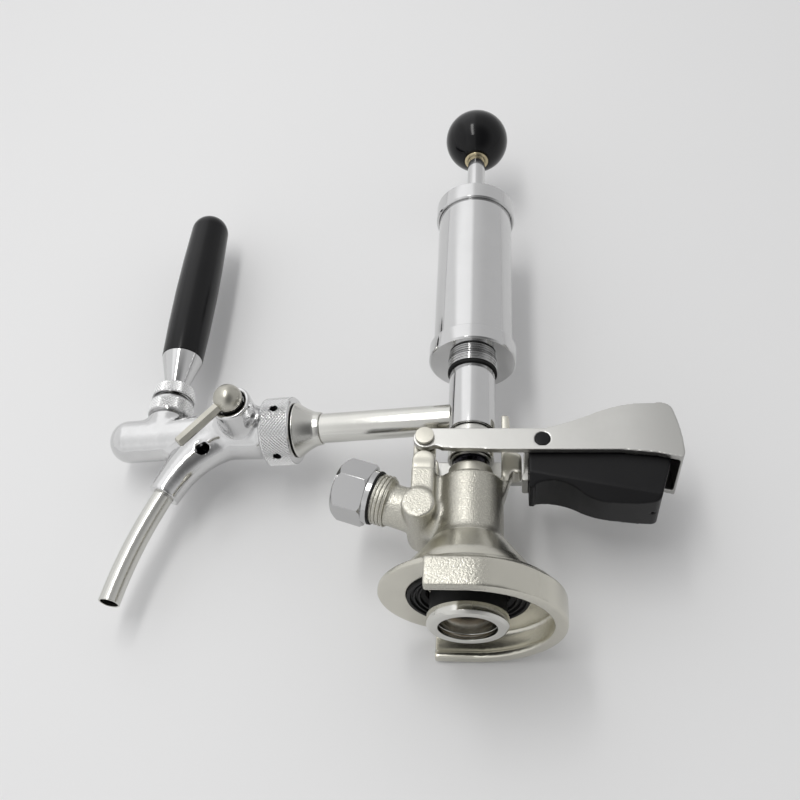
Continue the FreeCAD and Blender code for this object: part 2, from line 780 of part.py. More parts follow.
def probe():
    low = -ring_drop
    top = ring_height - ring_drop
    collar = cup_radius - 0.3
    thread = collar - slip
    lip = 2.5
    node(turned("end_ring", [
        (ring_bore, low),
        (ring_radius - 1.3, low),
        (ring_radius, low + 1.2),
        (ring_radius, top),
        (collar, top),
        (collar, low + lip),
        (ring_bore, low + lip),
    ]), "probe_end_ring")
    cup_floor = low + lip + slip
    ball_bore = check_ball_radius + 1.6
    roof = 27.0
    stem = turned("probe_form", [
        (ring_bore, cup_floor),
        (thread, cup_floor),
        (thread, top + slip),
        (cup_radius, top + slip),
        (cup_radius, cup_top),
        (stem_radius, cup_top + 5.5),
        (stem_radius, stem_top),
        (stem_bore, stem_top),
        (stem_bore, roof + 3),
        (beer_tube_radius + slip, roof + 3),
        (beer_tube_radius + slip, roof),
        (ball_bore, roof),
        (ball_bore, 13.2),
        (ring_bore - 1.2, 13.2),
        (ring_bore, 12.0),
    ])
    holes = []
    for index in range(2):
        hole = doc.addObject("Part::Cylinder", f"gas_hole_{index}")
        bind(hole, Radius=2, Height=24)
        place(hole, (0, 0, -12))
        place(hole, (0, 0, 35), (0, 1, 0), 90)
        place(hole, angle=45 + 90 * index)
        holes.append(hole)
    node(cut("probe_stem", stem, holes), "probe_tube")
    node(ring("probe_sleeve", cup_radius + slip, probe_seal_radius, top + slip, cup_top - 1.5), "probe_seal")
    seat_bore = check_ball_radius - 1.2
    node(ring("ball_seat_ring", seat_bore, ball_bore - slip, 13.25, 15.7), "beer_ball_seat")
    rise = root(check_ball_radius * check_ball_radius - seat_bore * seat_bore)
    node(ball("beer_ball", check_ball_radius, (0, 0, 15.75 + rise)), "beer_check_ball")
    node(ring("beer_pipe", beer_tube_bore, beer_tube_radius, roof + 0.2, 103), "beer_tube")
    clip_bore = stem_radius + slip
    node(ring("low_clip", clip_bore, 9.5, fork_ring_low - 1.3, fork_ring_low - gap), "lower_snap_ring")
    node(ring("high_clip", clip_bore, 9.7, fork_ring_high + gap, fork_ring_high + 1.6), "upper_snap_ring")
    sleeve = ring("fork_sleeve", stem_radius + running, fork_ring_radius, fork_ring_low, fork_ring_high)
    trunnion_at = (0, -arm_inside - 1.8, pivot_z)
    trunnion = cylinder("trunnions", trunnion_radius, arm_inside * 2 + 3.6, trunnion_at, "Y")
    clear = cylinder("fork_clear", stem_radius + running, 30, (0, 0, 70))
    node(cut("fork", fuse("fork_solid", [sleeve, trunnion]), [clear]), "fork_ring")


def column():
    bore = 9.0
    floor = stem_top + 0.4
    block_top = pipe_height + 9
    outer = turned("column_form", [
        (stem_radius + slip, column_low),
        (column_radius - 0.4, column_low),
        (column_radius, column_low + 0.4),
        (column_radius, column_high),
        (bore, column_high),
        (bore, floor),
        (stem_radius + slip, floor),
    ])
    side_hole = in_tap_frame(cylinder("column_side_hole", pipe_radius + slip, 20, (0, 0, pipe_height), "X"))
    node(cut("column_tube", outer, [side_hole]), "column")
    block = cylinder("manifold_blank", bore - slip, block_top - floor - 0.1, (0, 0, floor + 0.1))
    beer = cylinder("manifold_beer", beer_tube_radius + slip, pipe_height - floor, (0, 0, floor))
    across = in_tap_frame(cylinder("manifold_outlet", pipe_radius - pipe_wall, 20, (0, 0, pipe_height), "X"))
    gas = []
    for index, angle in enumerate((70, 130, 230, 290)):
        x = 6.9 * math.cos(math.radians(angle - tap_turn.value + 180))
        y = 6.9 * math.sin(math.radians(angle - tap_turn.value + 180))
        gas.append(cylinder(f"manifold_gas_{index}", 1.2, 30, (x, y, floor - 5)))
    node(cut("manifold", block, [beer, across] + gas), "beer_manifold")
    node(ring("column_washer", 9.2, column_radius + 0.9, column_high + 0.1, nut_low - 0.1), "column_o_ring")
    grooves = []
    step = (nut_high - nut_low) / 6
    low = nut_low
    for index in range(3):
        grooves.append((nut_radius, low + step * (2 * index)))
        grooves.append((nut_radius, low + step * (2 * index + 1)))
        grooves.append((nut_radius - 0.7, low + step * (2 * index + 1)))
        grooves.append((nut_radius - 0.7, low + step * (2 * index + 2)))
    node(turned("clamp_nut", [(9.1, low)] + grooves + [(9.1, nut_high)]), "column_nut")


def pump():
    spigot = 8.95
    inner = pump_tube_radius - pump_tube_wall
    floor = base_cap_high - 5.4
    seal = 1.1
    base = turned("base_cap", [
        (0, nut_high - 3.4),
        (5.6, nut_high - 3.4),
        (5.6, nut_low - 9),
        (spigot, nut_low - 9),
        (spigot, nut_high + 0.1),
        (base_cap_radius - 0.8, nut_high + 0.1),
        (base_cap_radius, nut_high + 0.9),
        (base_cap_radius, base_cap_high - 0.6),
        (base_cap_radius - 0.6, base_cap_high),
        (pump_tube_radius + slip, base_cap_high),
        (pump_tube_radius + slip, floor),
        (0, floor),
    ])
    holes = [cylinder("valve_stem_hole", 1.6, 12, (0, 0, floor - 10))]
    for index in range(4):
        angle = math.radians(90 * index)
        at = (3.6 * math.cos(angle), 3.6 * math.sin(angle), floor - 10)
        holes.append(cylinder(f"air_hole_{index}", 0.9, 12, at))
    node(cut("base_cap_drilled", base, holes), "pump_base_cap")
    node(turned("umbrella", [
        (0, nut_high - 4.6),
        (2.0, nut_high - 4.6),
        (2.0, nut_high - 3.5),
        (1.5, nut_high - 3.5),
        (1.5, floor + 0.05),
        (6.4, floor + 0.05),
        (5.6, floor + 1.2),
        (0, floor + 1.8),
    ]), "pump_check_valve")
    tube_low = floor + seal
    tube_high = top_cap_low + 5.2
    node(ring("pump_barrel", inner, pump_tube_radius, tube_low, tube_high), "pump_tube")
    node(fuse("tube_seals", [
        ring("tube_seal_low", inner + 0.2, pump_tube_radius, floor + slip, tube_low - slip),
        ring("tube_seal_high", inner + 0.2, pump_tube_radius, tube_high + slip, tube_high + seal - slip),
    ]), "pump_tube_seals")
    roof = tube_high + seal
    bush = rod_radius + 2.0
    node(turned("top_cap", [
        (pump_tube_radius + slip, top_cap_low),
        (top_cap_radius - 0.6, top_cap_low),
        (top_cap_radius, top_cap_low + 0.6),
        (top_cap_radius, top_cap_high - 0.9),
        (top_cap_radius - 0.9, top_cap_high),
        (bush, top_cap_high),
        (bush, roof + 1.2),
        (rod_radius + 0.6, roof + 1.2),
        (rod_radius + 0.6, roof),
        (pump_tube_radius + slip, roof),
    ]), "pump_top_cap")
    node(ring("rod_guide", rod_radius + running, bush - slip, roof + 1.25, top_cap_high - 0.1), "rod_bush")
    node(turned("plunger_rod", [
        (0, piston_low - 4),
        (3, piston_low - 4),
        (3, piston_low + 8),
        (rod_radius, piston_low + 8),
        (rod_radius, knob_height - 16),
        (4.0, knob_height - 16),
        (4.0, knob_height - 4),
        (0, knob_height - 4),
    ]), "pump_rod")
    piston_radius = inner - 0.6
    node(turned("piston", [
        (3 + slip, piston_low),
        (piston_radius - 1.2, piston_low),
        (piston_radius - 1.2, piston_low + 4.4),
        (piston_radius, piston_low + 4.4),
        (piston_radius, piston_low + 7.9),
        (3 + slip, piston_low + 7.9),
    ]), "piston_head")
    node(turned("piston_cup", [
        (piston_radius - 1.15, piston_low),
        (inner - 0.09, piston_low - 1.6),
        (inner - 0.09, piston_low + 4.3),
        (piston_radius - 1.15, piston_low + 4.3),
    ]), "piston_cup_seal")
    nut = doc.addObject("Part::Prism", "rod_nut_blank")
    nut.Polygon = 6
    bind(nut, Circumradius=5.8, Height=3)
    place(nut, (0, 0, piston_low - 3.1))
    node(cut("rod_nut", nut, [cylinder("rod_nut_hole", 3.05, 10, (0, 0, piston_low - 6))]), "piston_nut")
    flat = root(knob_radius * knob_radius - (insert_radius + 0.9) * (insert_radius + 0.9))
    sphere = ball("knob_ball", knob_radius, (0, 0, knob_height))
    below = cylinder("knob_flat", knob_radius, knob_radius, (0, 0, knob_height - flat - knob_radius))
    socket = cylinder("knob_socket", insert_radius - 0.4, 15, (0, 0, knob_height - flat - 1))
    node(cut("knob", sphere, [below, socket]), "ball_knob")
    insert_low = knob_height - flat - 1.2
    node(turned("knob_bush", [
        (rod_radius + slip, insert_low),
        (insert_radius, insert_low),
        (insert_radius, knob_height - flat - 0.02),
        (insert_radius - 0.45, knob_height - flat - 0.02),
        (insert_radius - 0.45, knob_height - 2.4),
        (4.0 + slip, knob_height - 2.4),
        (4.0 + slip, knob_height - 15.9),
        (rod_radius + slip, knob_height - 15.9),
    ]), "knob_insert")


def side_pipe():
    bore = pipe_radius - pipe_wall
    column_bore = 9.0
    node(in_tap_frame(turned("side_tube", [
        (column_bore + 0.1, bore),
        (column_bore + 0.1, pipe_radius),
        (pipe_end, pipe_radius),
        (pipe_end, bore),
    ], "H_Axis"), pipe_height), "outlet_pipe")
    neck_end = cone_end + 3.4
    flange_end = neck_end + 2.6
    node(in_tap_frame(turned("reducer", [
        (cone_start, pipe_radius + slip),
        (cone_start, pipe_radius + 0.8),
        (cone_start + 3, pipe_radius + 1.2, cone_start + 7.2, 10.4),
        (cone_end - 0.6, cone_radius),
        (cone_end, cone_radius),
        (cone_end, union_thread - 2.4),
        (neck_end, union_thread - 2.4),
        (neck_end, union_thread - 0.3),
        (flange_end, union_thread - 0.3),
        (flange_end, bore),
        (pipe_end + 0.1, bore),
        (pipe_end + 0.1, pipe_radius + slip),
    ], "H_Axis"), pipe_height), "shank_adapter")
    nut_start = cone_end + 0.5
    nut = turned("union_form", [
        (nut_start, union_thread - 2.1),
        (nut_start, union_radius - 0.7),
        (nut_start + 0.7, union_radius),
        (union_end - 0.7, union_radius),
        (union_end, union_radius - 0.7),
        (union_end, union_thread),
        (nut_start + 2.8, union_thread),
        (nut_start + 2.8, union_thread - 2.1),
    ], "H_Axis")
    holes = []
    middle = (nut_start + union_end) / 2
    for index, angle in enumerate((10, 100)):
        hole = doc.addObject("Part::Cylinder", f"spanner_hole_{index}")
        bind(hole, Radius=spanner_hole, Height=union_radius * 2 + 2)
        place(hole, (0, 0, -union_radius - 1))
        place(hole, (middle, 0, 0), (1, 0, 0), angle)
        holes.append(hole)
    node(in_tap_frame(cut("union_drilled", nut, holes), pipe_height), "coupling_nut")
    node(in_tap_frame(turned("union_washer", [
        (flange_end + slip, 8.6),
        (flange_end + slip, union_thread - 0.5),
        (flange_end + 1.2, union_thread - 0.5),
        (flange_end + 1.2, 8.6),
    ], "H_Axis"), pipe_height), "coupling_gasket")


def spout_torus(name, radius, extra):
    """The spout's bend as a piece of a ring, with extra degrees pushed up into the socket."""
    item = doc.addObject("Part::Torus", name)
    bind(item, Radius1=spout_bend, Radius2=radius)
    item.setExpression("Angle3", (spout_start - spout_finish + extra).text)
    x = socket_x - spout_bend * cosine(spout_start)
    z = socket_z - spout_bend * sine(spout_start)
    place(item, angle=spout_finish)
    return place(item, (x, 0, z), (1, 0, 0), 90)


def branch_section(name, x, z, angle, radius):
    """A circle across the spout branch, its axis leaning the given degrees from straight down."""
    item = doc.addObject("Part::Circle", name)
    bind(item, Radius=radius)
    return place(item, (x, 0, z), (0, 1, 0), 180 - angle)


def tap_body():
    thread_start = cone_end + 3.4 + 2.6 + 1.3
    axis = pipe_height
    barrel = turned("tap_barrel", [
        (thread_start, 0),
        (thread_start, union_thread - slip - 0.8),
        (thread_start + 0.8, union_thread - slip),
        (union_end + 0.6, union_thread - slip),
        (union_end + 1.0, body_radius),
        (union_end + 6, body_radius - 0.2, union_end + 19.7, body_radius - 0.8),
        (union_end + 33.7, nose_radius + 0.3),
        (union_end + 49.7, nose_radius),
        (nose_end - 11, nose_radius, nose_end - 2.6, 7.6),
        (nose_end, 0),
    ], "H_Axis", (0, 0, axis))
    tower = turned("tap_tower", [
        (0, axis),
        (10.4, axis),
        (10.4, axis + 9.6, 9.9, axis + 11.2),
        (9.0, bonnet_low - 0.8),
        (8.8, bonnet_low - 0.8),
        (8.8, seat_floor),
        (0, seat_floor),
    ], at=(tap_station, 0, 0))
    housing = cylinder("flow_tower", flow_tower_radius, flow_tower_end - 1.6, (flow_x, 0, flow_z), "Y")
    housing_end = cone("flow_tower_end_bevel", flow_tower_radius, flow_tower_radius - 1.6, 1.6,
                       (flow_x, flow_tower_end - 1.6, flow_z), "Y")
    sections = [
        branch_section("branch_1", socket_x - 32.0, axis - 0.7, 80, socket_radius + 2.9),
        branch_section("branch_2", socket_x - 21.0, axis - 4.7, 60, socket_radius + 2.6),
        branch_section("branch_3", socket_x - 12.0, axis - 12.1, 42, socket_radius + 1.6),
        branch_section("branch_4", socket_x - 5.8, socket_z + 11.8, 30, socket_radius + 0.6),
        branch_section("branch_5", socket_x, socket_z, spout_start, socket_radius),
    ]
    branch = doc.addObject("Part::Loft", "spout_branch")
    branch.Sections = sections
    branch.Solid = True
    branch.Ruled = False
    solid = fuse("tap_solid", [barrel, tower, housing, housing_end, branch])
    chamber = turned("tap_chamber", [
        (thread_start - 1, 0),
        (thread_start - 1, chamber_mouth),
        (flow_x - 7, chamber_mouth),
        (flow_x - 2, chamber_wall),
        (seat_x, chamber_wall),
        (seat_x, 5.3),
        (seat_x + 3, 5.3),
        (seat_x + 4, 6.6),
        (tap_station - 11.7, 6.6),
        (tap_station - 10.7, 5.3),
        (nose_end - 8, 5.3),
        (nose_end - 8, 0),
    ], "H_Axis", (0, 0, axis))
    spout_bore = spout_torus("spout_socket", spout_radius + slip, 2.6)
    throat_radius = spout_radius - spout_wall
    throat = doc.addObject("Part::Loft", "spout_throat")
    throat.Sections = [
        branch_section("throat_1", seat_x + 4.0, axis - 2.3, 55, throat_radius + 0.4),
        branch_section("throat_2", socket_x - 11.5, axis - 11.3, 38, throat_radius + 0.2),
        branch_section("throat_3", socket_x - 3.4, socket_z + 6.8, spout_start + 2.5, throat_radius + 0.1),
    ]
    throat.Solid = True
    stem_bore_hole = cylinder("lever_bore", lever_ball + 0.15, 9.5, (tap_station, 0, axis + 9.2))
    stem_slot = box("lever_slot", (tap_station - 11.2, -2.9, axis), (tap_station + 3.4, 2.9, axis + 9.7))
    shaft_bore = flow_shaft_radius + running
    shaft_hole = cylinder("flow_shaft_hole", shaft_bore, flow_tower_end + 2, (flow_x, 0, flow_z), "Y")
    pocket_at = (flow_x, flow_tower_end - 2.9, flow_z)
    ring_pocket = cylinder("flow_ring_pocket", flow_shaft_radius + 2.2, 3.0, pocket_at, "Y")
    vent = cylinder("vent_hole", 2.1, 30, (socket_x - 18.4, 2, axis - 10.7), "Y")
    tools = [chamber, spout_bore, throat, stem_bore_hole, stem_slot, shaft_hole, ring_pocket, vent]
    node(in_tap_frame(cut("tap_machined", solid, tools)), "faucet_body")


def spout():
    outer = spout_torus("spout_outside", spout_radius, 2.4)
    inner = spout_torus("spout_inside", spout_radius - spout_wall, 2.4)
    node(in_tap_frame(cut("spout", outer, [inner])), "spout_tube")


def tap_valve():
    """Shuttle with its seal, guided in the nose and moved by the lever's tail."""
    rod_end = seat_x - 4.0
    guide_start = tap_station - 9.3
    rod = turned("shuttle_form", [
        (rod_end, 0),
        (rod_end, 2.4),
        (guide_start, 2.4),
        (guide_start, 5.2),
        (nose_end - 18, 5.2),
        (nose_end - 18, 4.0),
        (nose_end - 16.6, 4.0),
        (nose_end - 16.6, 5.2),
        (nose_end - 13, 5.2),
        (nose_end - 13, 0),
    ], "H_Axis", (0, 0, pipe_height))
    slot = plate("shuttle_slot", [
        (tap_station - 2.9, pipe_height - 2.6),
        (tap_station + 2.9, pipe_height - 2.6),
        (tap_station + 2.9, pipe_height + 1.6),
        (tap_station + 5.6, pipe_height + 6),
        (tap_station - 2.9, pipe_height + 6),
    ], 5.4)
    node(in_tap_frame(cut("shuttle", rod, [slot])), "tap_shuttle")
    node(in_tap_frame(turned("shuttle_rubber", [
        (rod_end - 1.2, 0),
        (rod_end - 1.2, 6.4),
        (rod_end + 1.2, 7.4),
        (seat_x - slip, 5.6),
        (seat_x - slip, 2.45),
        (rod_end - 0.05, 2.45),
        (rod_end - 0.05, 0),
    ], "H_Axis"), pipe_height), "shuttle_seal")
    node(in_tap_frame(turned("shuttle_ring", [
        (nose_end - 17.9, 4.05),
        (nose_end - 17.9, 5.22),
        (nose_end - 16.7, 5.22),
        (nose_end - 16.7, 4.05),
    ], "H_Axis"), pipe_height), "shuttle_o_ring")


def tap_lever():
    at = (tap_station, 0, 0)
    node(in_tap_frame(ring_piece_bonnet(at)), "tap_bonnet")
    node(in_tap_frame(turned("lever_seat", [
        (lever_ball - 0.1, seat_floor + 0.1),
        (8.7, seat_floor + 0.1),
        (8.7, seat_floor + 1.9),
        (6.5, seat_floor + 1.9),
    ], at=at)), "lever_seat_ring")
    node(in_tap_frame(fuse("stem_form", [
        cylinder("stem_shank", lever_shank, cap_high + 12 - tap_pivot, (tap_station, 0, tap_pivot)),
        ball("stem_ball", lever_ball, (tap_station, 0, tap_pivot)),
        cylinder("stem_tail", tail_ball - 0.4, tap_pivot - pipe_height, (tap_station, 0, pipe_height)),
        ball("stem_tail_ball", tail_ball, (tap_station, 0, pipe_height)),
    ])), "lever_stem")
    hood = turned("hood_form", [
        (0, cap_low - 2),
        (ring_outer - 0.1, cap_low - 2),
        (ring_outer - 0.1, cap_low),
        (ring_outer, cap_low),
        (ring_outer, cap_low + 0.1),
        (9.6, cap_high - 2.6),
        (6.4, cap_high),
        (0, cap_high),
    ], at=at)
    below = box("hood_trim", (tap_station - 20, -20, cap_low - 10), (tap_station + 20, 20, cap_low))
    mouth = ring_outer - 0.8
    rise = cap_low - tap_pivot
    hollow = ball("hood_hollow", root(rise * rise + mouth * mouth), (tap_station, 0, tap_pivot))
    stem_hole = cylinder("hood_hole", lever_shank + slip, 30, (tap_station, 0, cap_low))
    node(in_tap_frame(cut("hood", hood, [below, hollow, stem_hole])), "lever_cap")
    node(in_tap_frame(turned("ferrule", [
        (lever_shank + slip, cap_high + 0.1),
        (5.9, cap_high + 0.1),
        (grip_radius - 0.9, grip_low - 0.3),
        (grip_radius - 1.3, grip_low - 0.1),
        (lever_shank + slip, grip_low - 0.1),
    ], at=at)), "grip_ferrule")
    dome = grip_radius - 1.4
    dome_low = grip_high - dome
    node(in_tap_frame(turned("grip_form", [
        (0, grip_low),
        (grip_radius - 0.8, grip_low),
        (grip_radius - 0.2, grip_low + 20),
        (grip_radius, grip_low + 44),
        (grip_radius - 0.3, grip_low + 66),
        (dome + 0.3, dome_low, dome * 0.7071 + 0.3, dome_low + dome * 0.7071),
        (dome * 0.2588 + 0.3, dome_low + dome * 0.9659),
        (0, grip_high - 0.2),
    ], at=at)), "tap_grip")


def ring_piece_bonnet(at):
    """The fixed knurled ring: screwed on the tower, open above for the lever's swing."""
    return turned("bonnet_form", [
        (8.85, bonnet_low),
        (ring_outer, bonnet_low),
        (ring_outer, bonnet_high - 1.6),
        (9.9, bonnet_high),
        (8.6, bonnet_high),
        (6.9, seat_floor + 2.0),
        (8.85, seat_floor + 2.0),
    ], at=at)


def flow_control():
    """Side lever that shifts the cone in the tap's throat by a small crank pin."""
    crank_x = flow_x - flow_crank * sine(flow_turn / 2)
    crank_z = flow_z - flow_crank * cosine(flow_turn / 2)
    shaft_end = chamber_wall - 0.15
    shaft_at = (flow_x, shaft_end, flow_z)
    shaft = cylinder("flow_shaft", flow_shaft_radius, flow_ball_y - shaft_end, shaft_at, "Y")
    pin = cylinder("flow_crank_pin", 1.2, 3.4, (crank_x, shaft_end - 3.2, crank_z), "Y")
    node(in_tap_frame(fuse("flow_spindle", [shaft, pin])), "flow_spindle")
    hub_ball = ball("flow_hub_ball", flow_ball_radius, (flow_x, flow_ball_y, flow_z), "Y")
    socket = cylinder("flow_hub_socket", flow_shaft_radius + slip, flow_ball_y, (flow_x, 0, flow_z), "Y")
    face = box("flow_hub_face", (flow_x - 9, flow_tower_end - 9, flow_z - 9),
               (flow_x + 9, flow_tower_end + gap + 0.6, flow_z + 9))
    bar_socket = flow_bar("bar_socket", running)
    node(in_tap_frame(cut("flow_hub", hub_ball, [socket, face, bar_socket])), "flow_lever_ball")
    node(in_tap_frame(flow_bar("bar", 0)), "flow_lever_bar")
    seal_at = (flow_x, flow_tower_end - 2.8, flow_z)
    seal = cylinder("flow_ring_blank", flow_shaft_radius + 2.1, 2.8, seal_at, "Y")
    hole_at = (flow_x, flow_tower_end - 4, flow_z)
    seal_hole = cylinder("flow_ring_hole", flow_shaft_radius + running, 6, hole_at, "Y")
    node(in_tap_frame(cut("flow_ring", seal, [seal_hole])), "flow_shaft_seal")
    guide = chamber_mouth - running
    plug = turned("flow_cone_form", [
        (flow_x - 16.4, 0),
        (flow_x - 16.4, guide),
        (flow_x - 13.0, guide),
        (flow_x - 13.0, 5.6),
        (flow_x - 10.6, 5.6),
        (flow_x - 8.6, guide - 1.3),
        (flow_x - 7.4, guide - 1.3),
        (flow_x - 3.0, chamber_wall - 1.5),
        (flow_x + 1.3, chamber_wall - 2.1),
        (flow_x + 1.3, 0),
    ], "H_Axis", (0, 0, pipe_height))
    half = 1.2 + 0.25
    slot_low = (crank_x - half, shaft_end - 3.6, flow_z - 5.5)
    slot_high = (crank_x + half, 9, flow_z + 4)
    slot = box("flow_cone_slot", slot_low, slot_high)
    ways = []
    for index in range(6):
        way = cylinder(f"flow_way_{index}", 1.5, 6, (flow_x - 18, 7.7, 0), "X")
        place(way, (0, 0, pipe_height), (1, 0, 0), 60 * index)
        ways.append(way)
    node(in_tap_frame(cut("flow_cone", plug, [slot] + ways)), "flow_cone")


def flow_bar(name, extra):
    """The hexagonal bar that is the flow control's handle, with a rounded end, or its socket when grown."""
    root_end = flow_bar_root - extra
    reach = flow_bar_length - root_end
    corner = flow_bar_flats / math.sqrt(3)
    hexagon = doc.addObject("Part::Prism", f"{name}_hexagon")
    hexagon.Polygon = 6
    bind(hexagon, Circumradius=corner + extra, Height=reach)
    rounding = turned(f"{name}_rounding", [
        (0, -1),
        (corner + 0.2, -1),
        (corner + 0.2, reach - 1.1),
        (corner - 0.9, reach),
        (0, reach),
    ])
    bar = common(f"{name}_form", hexagon, rounding)
    at = (root_end * cosine(flow_bar_angle), 0, -root_end * sine(flow_bar_angle))
    place(bar, at, (0, 1, 0), flow_bar_angle + 90)
    return place(bar, (flow_x, flow_ball_y, flow_z))


coupler_casting()
coupler_inserts()
gas_port_pieces()
lever()
trigger()
probe()
column()
pump()
side_pipe()
tap_body()
spout()
tap_valve()
tap_lever()
flow_control()

doc.recompute()
for item in doc.Objects:
    if "Invalid" in item.State or "Error" in item.State:
        raise RuntimeError(f"{item.Label} failed: {item.State}")
for item in nodes:
    if item.Shape.isNull() or not item.Shape.isValid():
        raise RuntimeError(f"{item.Label} has no valid shape")
os.makedirs("parts", exist_ok=True)
for item in nodes:
    item.Shape.exportStep(f"parts/{item.Label}.step")
print(len(nodes), "pieces written")
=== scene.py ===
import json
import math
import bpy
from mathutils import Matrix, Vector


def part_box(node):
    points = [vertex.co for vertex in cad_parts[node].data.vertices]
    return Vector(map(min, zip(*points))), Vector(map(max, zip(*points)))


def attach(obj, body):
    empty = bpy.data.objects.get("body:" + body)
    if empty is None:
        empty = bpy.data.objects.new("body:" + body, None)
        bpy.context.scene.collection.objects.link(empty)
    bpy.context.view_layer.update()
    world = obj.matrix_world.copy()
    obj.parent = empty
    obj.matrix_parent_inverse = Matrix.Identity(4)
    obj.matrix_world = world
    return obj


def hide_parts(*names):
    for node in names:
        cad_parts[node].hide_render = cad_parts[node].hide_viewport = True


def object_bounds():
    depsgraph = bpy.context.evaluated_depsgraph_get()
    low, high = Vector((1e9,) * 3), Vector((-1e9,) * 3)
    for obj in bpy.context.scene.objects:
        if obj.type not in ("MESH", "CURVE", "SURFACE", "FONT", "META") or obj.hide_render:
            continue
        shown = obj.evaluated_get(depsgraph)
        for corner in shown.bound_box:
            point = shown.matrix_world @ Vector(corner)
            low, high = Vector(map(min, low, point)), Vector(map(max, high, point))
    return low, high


bl_info = {
    "name": "Keg party pump",
    "version": (1, 0, 0),
    "blender": (4, 5, 0),
    "location": "View3D > Sidebar > Keg pump",
    "description": "Finishes a keg coupler with its hand pump and beer tap around the packed model",
    "category": "Object",
}

import bmesh
import bpy
from bpy.props import FloatProperty, FloatVectorProperty, IntProperty, PointerProperty
from mathutils import Matrix, Vector

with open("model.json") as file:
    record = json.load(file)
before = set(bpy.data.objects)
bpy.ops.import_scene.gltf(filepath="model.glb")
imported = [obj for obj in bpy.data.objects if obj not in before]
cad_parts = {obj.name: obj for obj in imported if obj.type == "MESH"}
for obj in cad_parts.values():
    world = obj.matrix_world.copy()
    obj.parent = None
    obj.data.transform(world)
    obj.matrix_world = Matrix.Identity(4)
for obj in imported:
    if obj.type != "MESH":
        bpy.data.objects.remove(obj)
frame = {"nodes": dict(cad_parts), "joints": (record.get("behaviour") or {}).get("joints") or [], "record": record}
CAD_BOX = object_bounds()

BODY = {node: body for body, nodes in frame["record"]["behaviour"]["bodies"].items() for node in nodes}
SLOT = {part["node"]: part["material_slot"] for part in frame["record"]["subparts"]}
JOINT = {joint["name"]: joint for joint in frame["joints"]}


def standing(point, along):
    """A matrix whose +Z runs along the given direction and whose origin is the given point."""
    turn = Vector(along).normalized().to_track_quat("Z", "Y").to_matrix().to_4x4()
    return Matrix.Translation(Vector(point)) @ turn


def middle(node):
    """The middle of a node's box."""
    low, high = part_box(node)
    return (low + high) / 2


UP = Vector((0, 0, 1))
OUTWARD = -Vector(JOINT["shuttle_slide"]["axis"])
FORWARD = Vector(JOINT["tap_hinge"]["axis"])
TAP_PIVOT = Vector(JOINT["tap_hinge"]["pos_m"])
PIPE_HEIGHT = middle("outlet_pipe").z
FLOW_PIVOT = Vector(JOINT["flow_hinge"]["pos_m"])
PORT_TILT = math.radians(18)
PORT_ROOT = Vector((0, 0, 0.0465))
PORT_DIRECTION = Vector((-math.cos(PORT_TILT), 0, math.sin(PORT_TILT)))

# The axes that the turned pieces are built round, each as the matrix that carries a local +Z axis there
AXES = {
    "pump": Matrix.Identity(4),
    "pipe": standing((0, 0, PIPE_HEIGHT), OUTWARD),
    "tower": Matrix.Translation((TAP_PIVOT.x, TAP_PIVOT.y, 0)),
    "flow": standing(FLOW_PIVOT, FORWARD),
    "port": standing(PORT_ROOT, PORT_DIRECTION),
    "pivot": standing(middle("lever_pin"), (0, -1, 0)),
    "trigger": standing(middle("trigger_pin"), (0, -1, 0)),
}


def length_setting(name, default, description, low=0.0):
    return FloatProperty(
        name=name, description=description, default=default, min=low, subtype="DISTANCE", unit="LENGTH"
    )


def angle_setting(name, degrees, description):
    return FloatProperty(
        name=name, description=description, default=math.radians(degrees), subtype="ANGLE", unit="ROTATION"
    )


def colour_setting(name, default, description):
    return FloatVectorProperty(name=name, description=description, default=default, subtype="COLOR")


